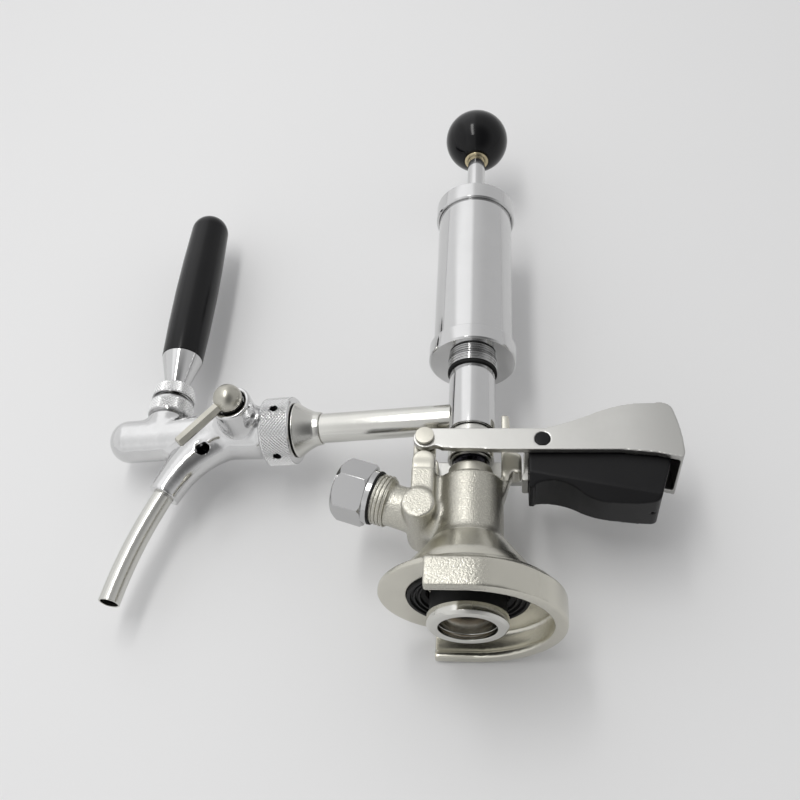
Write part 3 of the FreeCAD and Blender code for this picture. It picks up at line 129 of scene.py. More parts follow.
class PumpFinish(bpy.types.PropertyGroup):
    """Sizes and colours of the finished pump that a user may want to change."""

    spin_steps: IntProperty(
        name="Spin steps", description="Faces round each turned piece", default=144, min=24, max=256
    )
    spout_steps: IntProperty(
        name="Spout steps", description="Rings along the bent spout", default=64, min=8, max=200
    )
    edge_radius: length_setting("Edge radius", 0.00028, "Rounding of a turned piece's sharp edges")
    knurl_pitch: length_setting("Knurl pitch", 0.0017, "Distance between the points of the knurling", 0.0004)
    knurl_depth: length_setting("Knurl depth", 0.0004, "How far the points of the knurling stand up")
    thread_pitch: length_setting("Thread pitch", 0.0018, "Pitch of the gas port's thread", 0.0005)
    thread_depth: length_setting("Thread depth", 0.0006, "How far the gas port's thread stands up")
    thread_radius: length_setting("Thread radius", 0.0111, "Radius of the middle of the gas port's thread")
    thread_low: length_setting("Thread start", 0.0372, "Where the thread starts, along the gas port")
    thread_high: length_setting("Thread end", 0.0436, "Where the thread that shows ends at the gasket")
    nut_radius: length_setting("Coupling nut radius", 0.0162, "Outer radius of the coupling nut")
    spanner_radius: length_setting("Spanner hole radius", 0.0018, "Radius of the coupling nut's holes")
    spanner_angle: angle_setting("Spanner hole angle", 10, "Lean of the first spanner hole from the top")
    vent_radius: length_setting("Vent radius", 0.0025, "Half the width of the vent hole in the tap's neck")
    vent_stretch: FloatProperty(
        name="Vent stretch", description="Length of the vent hole over its width", default=1.5, min=1.0
    )
    vent_lean: angle_setting("Vent lean", 25, "How far the long vent hole leans up from level")
    vent_reach: length_setting("Vent reach", 0.1295, "Where the vent hole is, out along the pipe")
    vent_height: length_setting("Vent height", 0.0912, "Height of the vent hole")
    boss_radius: length_setting("Boss radius", 0.0096, "Outer radius of the collar round the flow ball")
    boss_end: length_setting("Boss end", 0.0262, "How far the collar stands out from the tap's middle")
    spout_reach: length_setting("Spout reach", 0.149, "Where the spout enters the tap, along the pipe")
    spout_height: length_setting("Spout height", 0.0708, "Height at which the spout enters the tap")
    spout_bend: length_setting("Spout bend", 0.210, "Radius of the spout's bend")
    spout_radius: length_setting("Spout radius", 0.005, "Outer radius of the spout")
    spout_wall: length_setting("Spout wall", 0.0008, "Wall of the spout")
    spout_start: angle_setting("Spout start angle", 24, "Where the bend starts, up from level")
    spout_end: angle_setting("Spout end angle", 8.5, "Where the bend ends, up from level")
    table_gap: length_setting("Table gap", 0.001, "Room between the pump's back and the table top")
    nickel: colour_setting("Nickel", (0.65, 0.633, 0.562), "Colour of the plated casting")
    chrome: colour_setting("Chrome", (0.69, 0.69, 0.69), "Colour of the bright plated pieces")
    stainless: colour_setting("Stainless", (0.66, 0.655, 0.62), "Colour of the brushed tubes")
    lever_grey: colour_setting("Lever grey", (0.61, 0.606, 0.583), "Colour of the satin cast lever")
    black: colour_setting("Black", (0.0030, 0.0030, 0.0035), "Colour of the moulded black pieces")
    brass: colour_setting("Brass", (0.74, 0.64, 0.42), "Colour of the turned brass")
    table: colour_setting("Table", (0.83, 0.83, 0.832), "Colour of the table top")


# Shader maths


class Link:
    """A node socket that adds maths nodes when it is used in an expression."""

    def __init__(self, tree, socket):
        self.tree = tree
        self.socket = socket

    def maths(self, operation, other=None):
        values = {0: self} if other is None else {0: self, 1: other}
        return self.tree.node("ShaderNodeMath", values, operation=operation)

    def __add__(self, other):
        return self.maths("ADD", other)

    __radd__ = __add__

    def __mul__(self, other):
        return self.maths("MULTIPLY", other)

    __rmul__ = __mul__

    def __sub__(self, other):
        return self.maths("SUBTRACT", other)

    def __rsub__(self, other):
        return (self * -1.0) + other

    def __truediv__(self, other):
        return self.maths("DIVIDE", other)

    def above(self, edge, width):
        """0 below the edge, 1 above it, with a soft step of the given width."""
        return self.tree.node(
            "ShaderNodeMapRange", {"Value": self, "From Min": edge - width / 2, "From Max": edge + width / 2},
            interpolation_type="SMOOTHSTEP",
        )


class Graph:
    """A node tree that is written with short expressions."""

    def __init__(self, tree):
        self.tree = tree
        self.nodes = tree.nodes
        self.links = tree.links

    def feed(self, socket, value):
        if isinstance(value, Link):
            self.links.new(value.socket, socket)
        else:
            socket.default_value = value

    def node(self, kind, values, output=0, **settings):
        made = self.nodes.new(kind)
        for name, value in settings.items():
            setattr(made, name, value)
        for name, value in values.items():
            self.feed(made.inputs[name], value)
        return Link(self, made.outputs[output])

    def split(self, vector):
        """The three numbers of a vector."""
        return [self.node("ShaderNodeSeparateXYZ", {"Vector": vector}, output=index) for index in range(3)]


class Finish(Graph):
    """A material with one surface shader, built by short expressions."""

    def __init__(self, name, colour, roughness, metallic=0.0):
        self.material = bpy.data.materials.new(name)
        self.material.use_nodes = True
        super().__init__(self.material.node_tree)
        self.shader = next(node for node in self.nodes if node.type == "BSDF_PRINCIPLED")
        self.set("Base Color", (*colour, 1.0))
        self.set("Roughness", roughness)
        self.set("Metallic", metallic)
        self.material.diffuse_color = (*colour, 1.0)
        self.place = self.node("ShaderNodeTexCoord", {}, output="Object")
        self.x, self.y, self.z = self.split(self.place)
        self.heights = []

    def set(self, name, value):
        self.feed(self.shader.inputs[name], value)

    def noise(self, scale, detail=3.0, roughness=0.55, stretch=None):
        place = self.place
        if stretch is not None:
            place = self.node("ShaderNodeMapping", {"Vector": place, "Scale": stretch})
        return self.node(
            "ShaderNodeTexNoise", {"Vector": place, "Scale": scale, "Detail": detail, "Roughness": roughness}
        )

    def bore(self, point, direction, radius):
        """1 within the given distance of a straight line, 0 outside it."""
        kind = "ShaderNodeVectorMath"
        offset = self.node(kind, {0: self.place, 1: tuple(point)}, operation="SUBTRACT")
        across = self.node(kind, {0: offset, 1: tuple(direction)}, operation="CROSS_PRODUCT")
        distance = self.node(kind, {0: across}, output="Value", operation="LENGTH")
        return 1.0 - distance.above(radius, radius * 0.1)

    def mix(self, mask, first, second):
        return self.node("ShaderNodeMix", {0: mask, 6: first, 7: second}, output=2, data_type="RGBA")

    def tint(self, mask, colour, first, second):
        """One colour at two strengths, chosen by a mask."""
        return self.mix(mask, rgba(colour, first), rgba(colour, second))

    def bump(self, height, distance, strength):
        """Adds one layer of relief to the surface."""
        self.heights.append((height, distance, strength))

    def done(self):
        normal = None
        for height, distance, strength in self.heights:
            values = {"Height": height, "Distance": distance, "Strength": strength}
            if normal is not None:
                values["Normal"] = normal
            normal = self.node("ShaderNodeBump", values)
        if normal is not None:
            self.set("Normal", normal)
        return self.material


def shade(colour, factor):
    return tuple(min(1.0, channel * factor) for channel in colour)


def rgba(colour, factor=1.0):
    return (*shade(colour, factor), 1.0)


# Painted shade: the black painted inside drilled holes, standing in for the darkness deep in a hole
PAINTED_HOLE_SHADE = (0.01, 0.01, 0.01, 1.0)


def nickel_casting(settings):
    """Nickel plated casting: sand texture on the barrel, the lug and a patch of the slider, else satin."""
    barrel_low, barrel_high = 0.0375, 0.0665
    patch_right, patch_back, patch_top = 0.008, -0.0375, 0.0172
    finish = Finish("nickel_casting", settings.nickel, 0.3, 1.0)
    barrel = finish.z.above(barrel_low, 0.0012) * (1.0 - finish.z.above(barrel_high, 0.0012))
    front = 1.0 - finish.y.above(patch_back, 0.001)
    patch = (1.0 - finish.x.above(patch_right, 0.010)) * (1.0 - finish.z.above(patch_top, 0.0006)) * front
    rough = barrel.maths("MAXIMUM", patch)
    sand = finish.noise(1350.0, 2.5, 0.6)
    lumps = finish.noise(260.0, 3.0)
    stain = finish.noise(70.0, 4.0)
    plated = finish.tint(stain.above(0.5, 0.5) * 0.6, settings.nickel, 1.0, 0.88)
    finish.set("Base Color", finish.mix(rough * sand.above(0.42, 0.3), plated, rgba(settings.nickel, 0.74)))
    finish.set("Roughness", rough * (sand * 0.10 + 0.24) + (1.0 - rough) * (lumps * 0.05 + 0.23))
    finish.bump(sand * rough, 0.00026, 1.0)
    finish.bump(lumps * (rough * 0.5 + 0.012), 0.0005, 0.4)
    return finish.done()


def bright_chrome(settings, name, tone):
    """Polished plating, very slightly waved, with a few dull smears."""
    finish = Finish(name, shade(settings.chrome, tone), 0.07, 1.0)
    smear = finish.noise(55.0, 4.0, 0.6)
    finish.set("Base Color", finish.tint(smear, settings.chrome, tone, tone * 0.9))
    finish.set("Roughness", smear.above(0.55, 0.4) * 0.07 + 0.055)
    finish.bump(finish.noise(90.0, 2.0), 0.00012, 0.35)
    return finish.done()


def chrome_casting(settings):
    """Plating over a cast body, waved a little by hand polishing, with painted shade inside the vent hole."""
    finish = Finish("chrome_casting", settings.chrome, 0.16, 1.0)
    smear = finish.noise(80.0, 4.0, 0.6)
    point, along = vent_axis(settings), vent_length(settings)
    vent_shade = sum(finish.bore(point + along * side, FORWARD, settings.vent_radius) for side in (-1.0, 0.0, 1.0))
    plated = finish.tint(smear, settings.chrome, 1.04, 0.86)
    # Painted shade: the vent hole's inside is painted black, for the dark that falls deep in the hole
    finish.set("Base Color", finish.mix(vent_shade, plated, PAINTED_HOLE_SHADE))
    finish.set("Roughness", smear.above(0.5, 0.5) * 0.07 + 0.08)
    finish.bump(finish.noise(110.0, 3.0), 0.0006, 0.35)
    return finish.done()


def knurled_chrome(settings):
    """The plating on the knurled bands: points painted brighter as a painted highlight, with old dirt and painted
    shade darkening the grooves between them.
    """
    finish = Finish("knurled_chrome", shade(settings.chrome, 1.15), 0.24, 1.0)
    height = finish.node("ShaderNodeAttribute", {}, output="Fac", attribute_name="height")
    grain = finish.noise(900.0, 2.0)
    point = height.above(0.11, 0.16)
    # Painted shade with old dirt in the grooves between the points, and a painted highlight on their tips
    finish.set("Base Color", finish.mix(point, rgba((0.08, 0.08, 0.08)), rgba(settings.chrome, 1.44)))
    finish.set("Roughness", grain * 0.16 + 0.18)
    return finish.done()


def satin_chrome(settings):
    """Dull plating with blurred handling marks, as on the flow control's ball and bar."""
    finish = Finish("satin_chrome", settings.chrome, 0.3, 1.0)
    marks = finish.noise(160.0, 4.0)
    finish.set("Base Color", finish.tint(marks, settings.nickel, 0.92, 0.58))
    finish.set("Roughness", marks * 0.2 + 0.2)
    finish.bump(marks, 0.0002, 0.5)
    return finish.done()


def drilled_chrome(settings):
    """The coupling nut's plating, with painted shade inside its spanner holes."""
    finish = Finish("drilled_chrome", settings.chrome, 0.12, 1.0)
    smear = finish.noise(80.0, 4.0, 0.6)
    rim = settings.spanner_radius * 1.12
    spanner_hole_shade = sum(finish.bore(point, direction, rim) for point, direction in spanner_axes(settings))
    # Painted shade: black painted inside the spanner holes
    finish.set("Base Color", finish.mix(spanner_hole_shade, rgba(settings.chrome), PAINTED_HOLE_SHADE))
    finish.set("Roughness", smear * 0.08 + 0.09)
    return finish.done()


def satin_nickel(settings):
    """Dull turned plating, as on the guide bush and the pin's heads."""
    finish = Finish("satin_nickel", settings.nickel, 0.42, 1.0)
    marks = finish.noise(300.0, 3.0)
    finish.set("Base Color", finish.tint(marks, settings.nickel, 1.0, 0.86))
    finish.set("Roughness", marks * 0.16 + 0.36)
    finish.bump(marks, 0.00008, 0.5)
    return finish.done()


def brushed_stainless(settings):
    """Stainless steel with fine level marks."""
    finish = Finish("brushed_stainless", settings.stainless, 0.18, 1.0)
    marks = finish.noise(240.0, 3.0, 0.6, stretch=(6.0, 6.0, 22.0))
    smear = finish.noise(60.0, 3.0)
    finish.set("Base Color", finish.tint(smear, settings.stainless, 1.05, 0.9))
    finish.set("Roughness", marks * 0.10 + smear * 0.06 + 0.07)
    finish.bump(marks, 0.00006, 0.5)
    return finish.done()


def probe_steel(settings):
    """The probe: bright outside, with a brown film in its bore, and painted shade with a painted dark reflection
    on the neck above the bush, where the lever shades it.
    """
    bore_radius, bore_depth, neck_start = 0.0118, 0.02, 0.0742
    brown_film = (0.30, 0.235, 0.165, 1.0)
    painted_neck_shade = (0.022, 0.021, 0.026, 1.0)
    finish = Finish("probe_steel", settings.stainless, 0.16, 1.0)
    radius = (finish.x * finish.x + finish.y * finish.y).maths("SQRT")
    bore = (1.0 - radius.above(bore_radius, 0.0006)) * (1.0 - finish.z.above(bore_depth, 0.002))
    shaded_neck = finish.z.above(neck_start, 0.0006)
    smear = finish.noise(60.0, 3.0)
    steel = finish.tint(smear, settings.stainless, 1.05, 0.92)
    # Painted shade and dark reflection on the neck above the bush, where the lever's arms shade the polished steel
    finish.set("Base Color", finish.mix(shaded_neck, finish.mix(bore, steel, brown_film), painted_neck_shade))
    finish.set("Roughness", smear * 0.08 + bore * 0.2 + 0.10)
    return finish.done()


def lever_casting(settings):
    """Tumbled light alloy: an even satin face with very fine grain, painted darker towards its right end as
    painted shade.
    """
    plate_start = 0.078
    finish = Finish("lever_casting", settings.lever_grey, 0.46, 1.0)
    grain = finish.noise(1300.0, 2.0)
    cloud = finish.noise(45.0, 4.0, 0.6)
    even = finish.tint(cloud.above(0.5, 0.6), settings.lever_grey, 1.05, 0.95)
    painted_shade_right = finish.x.above(plate_start, 0.03)
    # Painted shade: the colour is darkened from the plate on towards the right end, away from the lamp
    finish.set("Base Color", finish.mix(painted_shade_right, even, rgba(settings.lever_grey, 0.78)))
    finish.set("Roughness", grain * 0.08 + cloud * 0.08 + 0.26)
    finish.bump(grain, 0.00006, 0.4)
    return finish.done()


def plated_steel(settings):
    """Zinc plated steel, a little uneven."""
    finish = Finish("plated_steel", shade(settings.stainless, 0.82), 0.32, 1.0)
    grain = finish.noise(420.0, 3.0)
    finish.set("Roughness", grain * 0.2 + 0.2)
    finish.bump(grain, 0.00008, 0.5)
    return finish.done()


def black_moulding(settings, name, roughness, grain_size, depth, gloss):
    """Black plastic or resin with a fine grain and light handling marks."""
    finish = Finish(name, settings.black, roughness)
    finish.set("Specular IOR Level", gloss)
    grain = finish.noise(grain_size, 3.0)
    marks = finish.noise(38.0, 5.0, 0.65)
    finish.set("Base Color", finish.tint(marks, settings.black, 0.8, 1.8))
    finish.set("Roughness", marks.above(0.55, 0.5) * 0.1 + grain * 0.06 + roughness)
    finish.bump(grain, depth, 0.5)
    return finish.done()


def seal_rubber():
    """Black rubber with a faint bloom."""
    finish = Finish("seal_rubber", (0.006, 0.006, 0.006), 0.6)
    finish.set("Specular IOR Level", 0.25)
    bloom = finish.noise(120.0, 4.0)
    finish.set("Base Color", finish.mix(bloom, rgba((0.004, 0.004, 0.004)), rgba((0.012, 0.012, 0.012))))
    finish.set("Roughness", bloom * 0.25 + 0.45)
    finish.bump(finish.noise(900.0, 2.0), 0.00008, 0.5)
    return finish.done()


def turned_brass(settings):
    """Brass with the marks of the lathe."""
    finish = Finish("turned_brass", settings.brass, 0.22, 1.0)
    marks = finish.noise(300.0, 3.0, 0.6, stretch=(1.0, 1.0, 14.0))
    finish.set("Base Color", finish.tint(marks, settings.brass, 1.05, 0.82))
    finish.set("Roughness", marks * 0.18 + 0.14)
    finish.bump(marks, 0.00006, 0.5)
    return finish.done()


def white_acetal():
    """White bearing plastic."""
    finish = Finish("white_acetal", (0.72, 0.72, 0.69), 0.4)
    grain = finish.noise(300.0, 3.0)
    finish.set("Roughness", grain * 0.15 + 0.32)
    finish.bump(grain, 0.00005, 0.4)
    return finish.done()


# What the finishes operator makes and the other steps use
FINISHES = {}
KNURL = {}


def make_finishes(settings):
    """Makes one material for each slot of the record, and those that single pieces have of their own."""
    KNURL["tree"] = knurl_tree()
    FINISHES.update({
        "nickel_casting": nickel_casting(settings),
        "chrome": bright_chrome(settings, "bright_chrome", 0.96),
        "cap_chrome": bright_chrome(settings, "cap_chrome", 0.76),
        "stainless": brushed_stainless(settings),
        "grey_casting": lever_casting(settings),
        "zinc_plate": plated_steel(settings),
        "black_moulding": black_moulding(settings, "matte_moulding", 0.32, 1400.0, 0.0001, 0.22),
        "black_gloss": black_moulding(settings, "gloss_resin", 0.05, 160.0, 0.00002, 0.27),
        "black_satin": black_moulding(settings, "satin_resin", 0.16, 260.0, 0.00003, 0.27),
        "black_rubber": seal_rubber(),
        "plain_brass": turned_brass(settings),
        "white_plastic": white_acetal(),
        "chrome_casting": chrome_casting(settings),
        "knurled_chrome": knurled_chrome(settings),
        "drilled_chrome": drilled_chrome(settings),
        "satin_chrome": satin_chrome(settings),
        "satin_nickel": satin_nickel(settings),
        "probe_steel": probe_steel(settings),
    })


# Mesh helpers


def finished(piece, node, material=None, replace=True):
    """Gives a piece its finish, and lets it move with the node's body."""
    piece.data.materials.clear()
    piece.data.materials.append(FINISHES[material or SLOT[node]])
    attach(piece, BODY[node])
    if replace:
        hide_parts(node)
    return piece


def new_piece(name, mesh):
    """A piece in the scene, at the origin."""
    piece = bpy.data.objects.new(name, mesh)
    bpy.context.scene.collection.objects.link(piece)
    return piece


SHARP_TURN = math.radians(32)
BEVEL_TURN = math.radians(35)
CORNER_TURN = math.radians(24)
STRAIGHT_TURN = math.radians(0.4)


def mesh_from(bm, name):
    """Ends a bmesh as a smooth mesh with its sharp edges kept."""
    mesh = bpy.data.meshes.new(name)
    bmesh.ops.recalc_face_normals(bm, faces=bm.faces)
    for face in bm.faces:
        face.smooth = True
    for edge in bm.edges:
        if len(edge.link_faces) == 2 and edge.calc_face_angle(0.0) > SHARP_TURN:
            edge.smooth = False
    bm.to_mesh(mesh)
    bm.free()
    return mesh


def merged_copy(node, matrix=None):
    """The node's solid as one closed mesh, in the frame of the given axis."""
    bm = bmesh.new()
    bm.from_mesh(frame["nodes"][node].data)
    bmesh.ops.remove_doubles(bm, verts=bm.verts, dist=1e-6)
    if matrix is not None:
        bmesh.ops.transform(bm, matrix=matrix.inverted(), verts=bm.verts)
    return bm


def half_section(node, matrix, angle=0.0):
    """The outlines that a half plane through the axis cuts from a node, as lists of radius and height."""
    bm = merged_copy(node, matrix @ Matrix.Rotation(angle, 4, "Z"))
    bmesh.ops.bisect_plane(
        bm, geom=bm.verts[:] + bm.edges[:] + bm.faces[:], dist=1e-7, plane_co=(0, 0, 0), plane_no=(1, 0, 0),
        clear_inner=True,
    )
    cut = bmesh.ops.bisect_plane(
        bm, geom=bm.verts[:] + bm.edges[:] + bm.faces[:], dist=1e-7, plane_co=(0, 0, 0), plane_no=(0, 1, 0)
    )["geom_cut"]
    edges = [item for item in cut if isinstance(item, bmesh.types.BMEdge)]
    neighbours = {}
    for edge in edges:
        a, b = ((round(v.co.x, 7), round(v.co.z, 7)) for v in edge.verts)
        if a != b:
            neighbours.setdefault(a, set()).add(b)
            neighbours.setdefault(b, set()).add(a)
    bm.free()
    chains = []
    while neighbours:
        start = next((p for p, others in neighbours.items() if len(others) == 1), next(iter(neighbours)))
        chain = [start]
        while True:
            others = neighbours.get(chain[-1], set())
            following = next((p for p in others if len(chain) < 2 or p != chain[-2]), None)
            if following is None:
                break
            neighbours[chain[-1]].discard(following)
            neighbours[following].discard(chain[-1])
            if following == chain[0]:
                break
            chain.append(following)
        for point in [p for p, others in neighbours.items() if not others]:
            del neighbours[point]
        if len(chain) > 2:
            chains.append(straightened(chain))
    return chains


def straightened(chain):
    """Drops the points that lie on a straight run between their neighbours."""
    closed = chain[0][0] > 1e-6 or chain[-1][0] > 1e-6
    kept = []
    for index, point in enumerate(chain):
        before = Vector(chain[index - 1])
        after = Vector(chain[(index + 1) % len(chain)])
        here = Vector(point)
        inner = closed or 0 < index < len(chain) - 1
        if inner and (here - before).length > 0 and (after - here).length > 0:
            if (here - before).angle(after - here) < STRAIGHT_TURN:
                continue
        kept.append(point)
    return kept


def rounded(chain, radius):
    """The outline with its sharp corners replaced by small arcs."""
    steps = 4
    closed = chain[0][0] > 1e-6 or chain[-1][0] > 1e-6
    points = []
    count = len(chain)
    for index, point in enumerate(chain):
        here = Vector(point)
        if not closed and index in (0, count - 1):
            points.append(here)
            continue
        before = Vector(chain[index - 1]) - here
        after = Vector(chain[(index + 1) % count]) - here
        turn = math.pi - before.angle(after)
        if turn < CORNER_TURN:
            points.append(here)
            continue
        reach = min(radius * math.tan(turn / 2), before.length * 0.45, after.length * 0.45)
        start = here + before.normalized() * reach
        end = here + after.normalized() * reach
        for step in range(steps + 1):
            t = step / steps
            points.append(start.lerp(here, t).lerp(here.lerp(end, t), t))
    return points, closed


def spun(name, chains, matrix, settings, radius=None):
    """Turns outlines about the axis into one smooth piece."""
    bm = bmesh.new()
    steps = settings.spin_steps
    for chain in chains:
        points, closed = rounded(chain, settings.edge_radius if radius is None else radius)
        rings = []
        for point in points:
            if point.x < 1e-6:
                rings.append([bm.verts.new((0, 0, point.y))])
                continue
            ring = []
            for step in range(steps):
                angle = math.tau * step / steps
                ring.append(bm.verts.new((point.x * math.cos(angle), point.x * math.sin(angle), point.y)))
            rings.append(ring)
        pairs = list(zip(rings, rings[1:]))
        if closed:
            pairs.append((rings[-1], rings[0]))
        for low, high in pairs:
            for step in range(steps):
                after = (step + 1) % steps
                corners = []
                for ring, at in ((low, step), (low, after), (high, after), (high, step)):
                    corner = ring[at % len(ring)]
                    if corner not in corners:
                        corners.append(corner)
                if len(corners) > 2:
                    bm.faces.new(corners)
    bmesh.ops.transform(bm, matrix=matrix, verts=bm.verts)
    return new_piece(name, mesh_from(bm, name))


def turned(node, axis, settings, angle=0.0, radius=None):
    """A node spun anew from the outline that it has at the given angle."""
    return spun(f"{node}_finished", half_section(node, AXES[axis], angle), AXES[axis], settings, radius)


def turned_piece(node, axis, settings, angle=0.0, material=None):
    return finished(turned(node, axis, settings, angle), node, material)


def plain_mesh(piece):
    """Bakes a piece's modifiers into its mesh."""
    graph = bpy.context.evaluated_depsgraph_get()
    mesh = bpy.data.meshes.new_from_object(piece.evaluated_get(graph))
    piece.modifiers.clear()
    piece.data = mesh
    return piece


def pushed(piece, name, distance):
    """Adds a modifier that moves the whole surface out, or in."""
    push = piece.modifiers.new(name, "DISPLACE")
    push.mid_level = 0.0
    push.strength = distance


def remeshed(piece, name, voxel):
    """Adds a modifier that makes the surface anew with an even grain."""
    skin = piece.modifiers.new(name, "REMESH")
    skin.mode = "VOXEL"
    skin.voxel_size = voxel


def skinned(piece, voxel, blend, relax_steps, ease=0.0):
    """Turns a rough closed mesh into one smooth skin, with its inner corners filled to the given radius.

    The ease draws the whole skin in a little, where a moving piece passes close by.
    """
    remeshed(piece, "Skin", voxel)
    if blend > 0:
        pushed(piece, "Swell", blend)
        remeshed(piece, "Skin again", voxel)
        pushed(piece, "Shrink", -blend)
    relax = piece.modifiers.new("Relax", "SMOOTH")
    relax.factor = 0.5
    relax.iterations = relax_steps
    if ease > 0:
        pushed(piece, "Ease", -ease)
    plain_mesh(piece)
    for polygon in piece.data.polygons:
        polygon.use_smooth = True
    return piece


def softened_piece(node, voxel, relax_steps, material=None, blend=0.0, extra=(), ease=0.0):
    """A cast or moulded piece: the solid, and any extra bulk on it, with all its edges softened."""
    bm = merged_copy(node)
    for mesh in extra:
        bm.from_mesh(mesh)
        bpy.data.meshes.remove(mesh)
    piece = skinned(new_piece(f"{node}_finished", mesh_from(bm, node)), voxel, blend, relax_steps, ease)
    return finished(piece, node, material)


def crisp_piece(node, width, material=None):
    """A machined or pressed piece: the solid with fine bevels on its edges."""
    bm = merged_copy(node)
    bmesh.ops.dissolve_limit(bm, angle_limit=math.radians(1), verts=bm.verts, edges=bm.edges)
    piece = new_piece(f"{node}_finished", mesh_from(bm, node))
    bevel = piece.modifiers.new("Edges", "BEVEL")
    bevel.width = width
    bevel.segments = 3
    bevel.limit_method = "ANGLE"
    bevel.angle_limit = BEVEL_TURN
    plain_mesh(piece)
    return finished(piece, node, material)


# Repeated relief made with geometry nodes


class Relief(Graph):
    """A geometry node tree with named inputs and one geometry output."""

    def __init__(self, name, numbers):
        super().__init__(bpy.data.node_groups.new(name, "GeometryNodeTree"))
        sockets = self.tree.interface
        sockets.new_socket("Geometry", in_out="INPUT", socket_type="NodeSocketGeometry")
        for label, value in numbers.items():
            kind = "NodeSocketInt" if isinstance(value, int) else "NodeSocketFloat"
            sockets.new_socket(label, in_out="INPUT", socket_type=kind).default_value = value
        sockets.new_socket("Material", in_out="INPUT", socket_type="NodeSocketMaterial")
        sockets.new_socket("Geometry", in_out="OUTPUT", socket_type="NodeSocketGeometry")
        source = self.nodes.new("NodeGroupInput")
        self.given = {socket.name: Link(self, socket) for socket in source.outputs if socket.name}

    def done(self, shape):
        real = self.node("GeometryNodeRealizeInstances", {"Geometry": shape})
        dressed = self.node("GeometryNodeSetMaterial", {"Geometry": real, "Material": self.given["Material"]})
        result = self.nodes.new("NodeGroupOutput")
        self.links.new(dressed.socket, result.inputs[0])
        return self.tree


def knurl_tree():
    """A band of small pyramids in staggered rows, wrapped round a cylinder or cone about +Z."""
    relief = Relief("knurl_band", {
        "Radius": 0.016, "Taper": 0.0, "Low": 0.0, "Height": 0.015, "Depth": 0.0004, "Columns": 80, "Rows": 12
    })
    given = relief.given
    index = relief.node("GeometryNodeInputIndex", {})
    row = (index / given["Columns"]).maths("FLOOR")
    column = index - row * given["Columns"]
    pitch = given["Height"] / (given["Rows"] + 1.0)
    turn = (column + row.maths("MODULO", 2.0) * 0.5) / given["Columns"] * math.tau
    rise = pitch * (row + 1.0)
    radius = given["Radius"] - given["Taper"] * rise / given["Height"]
    place = relief.node("ShaderNodeCombineXYZ", {
        "X": radius * turn.maths("COSINE"), "Y": radius * turn.maths("SINE"), "Z": rise + given["Low"],
    })
    points = relief.node("GeometryNodePoints", {"Count": given["Columns"] * given["Rows"], "Position": place})
    point = relief.node("GeometryNodeMeshCone", {
        "Vertices": 4, "Radius Top": 0.0, "Radius Bottom": 1.0, "Depth": 1.0,
    }, fill_type="NGON")
    spot = relief.node("GeometryNodeInputPosition", {})
    rise_in_point = relief.node("ShaderNodeSeparateXYZ", {"Vector": spot}, output=2)
    marked = relief.node("GeometryNodeStoreNamedAttribute", {
        "Geometry": point, "Name": "height", "Value": rise_in_point,
    })
    facing = relief.node("ShaderNodeCombineXYZ", {"X": math.pi / 2, "Y": 0.0, "Z": turn + math.pi / 2})
    across = given["Radius"] * math.pi / given["Columns"]
    scale = relief.node("ShaderNodeCombineXYZ", {"X": across, "Y": pitch, "Z": given["Depth"]})
    placed = relief.node("GeometryNodeInstanceOnPoints", {
        "Points": points, "Instance": marked, "Rotation": facing, "Scale": scale,
    })
    return relief.done(placed)


def thread_tree():
    """A ridge that winds round a cylinder about +Z."""
    relief = Relief("thread_ridge", {
        "Radius": 0.011, "Low": 0.0, "Height": 0.006, "Pitch": 0.0018, "Depth": 0.0006, "Steps": 40,
    })
    given = relief.given
    path = relief.node("GeometryNodeCurveSpiral", {
        "Resolution": given["Steps"], "Rotations": given["Height"] / given["Pitch"],
        "Start Radius": given["Radius"], "End Radius": given["Radius"], "Height": given["Height"],
    })
    ridge = relief.node("GeometryNodeCurvePrimitiveCircle", {"Resolution": 4, "Radius": given["Depth"]})
    wound = relief.node("GeometryNodeCurveToMesh", {"Curve": path, "Profile Curve": ridge, "Fill Caps": True})
    lift = relief.node("ShaderNodeCombineXYZ", {"Z": given["Low"]})
    placed = relief.node("GeometryNodeSetPosition", {"Geometry": wound, "Offset": lift})
    return relief.done(placed)


def relief_mesh(name, tree, matrix, material, **values):
    """Runs a relief tree with the given inputs, and gives the result as a plain mesh in place."""
    piece = new_piece(name, bpy.data.meshes.new(name))
    modifier = piece.modifiers.new("Relief", "NODES")
    modifier.node_group = tree
    values["Material"] = FINISHES[material]
    for socket in tree.interface.items_tree:
        label = socket.name.replace(" ", "_")
        if socket.in_out == "INPUT" and label in values:
            modifier[socket.identifier] = values[label]
    plain_mesh(piece)
    mesh = piece.data
    mesh.transform(matrix)
    bpy.data.objects.remove(piece)
    return mesh


def cleared(mesh, point, direction, radius):
    """Takes the points of a knurl off round a hole."""
    bm = bmesh.new()
    bm.from_mesh(mesh)
    axis = direction.normalized()
    doomed = set()
    for tip in (vertex for vertex in bm.verts if len(vertex.link_faces) == 4):
        offset = tip.co - point
        if (offset - axis * offset.dot(axis)).length < radius:
            doomed.update(vertex for face in tip.link_faces for vertex in face.verts)
    bmesh.ops.delete(bm, geom=list(doomed), context="VERTS")
    bm.to_mesh(mesh)
    bm.free()


def extent(node, axis):
    """A node's largest radius about an axis, and the heights that it reaches from and to along it."""
    inverse = AXES[axis].inverted()
    places = [inverse @ vertex.co for vertex in frame["nodes"][node].data.vertices]
    heights = [place.z for place in places]
    return max(place.xy.length for place in places), min(heights), max(heights)


KNURL_LIFT = 0.00002


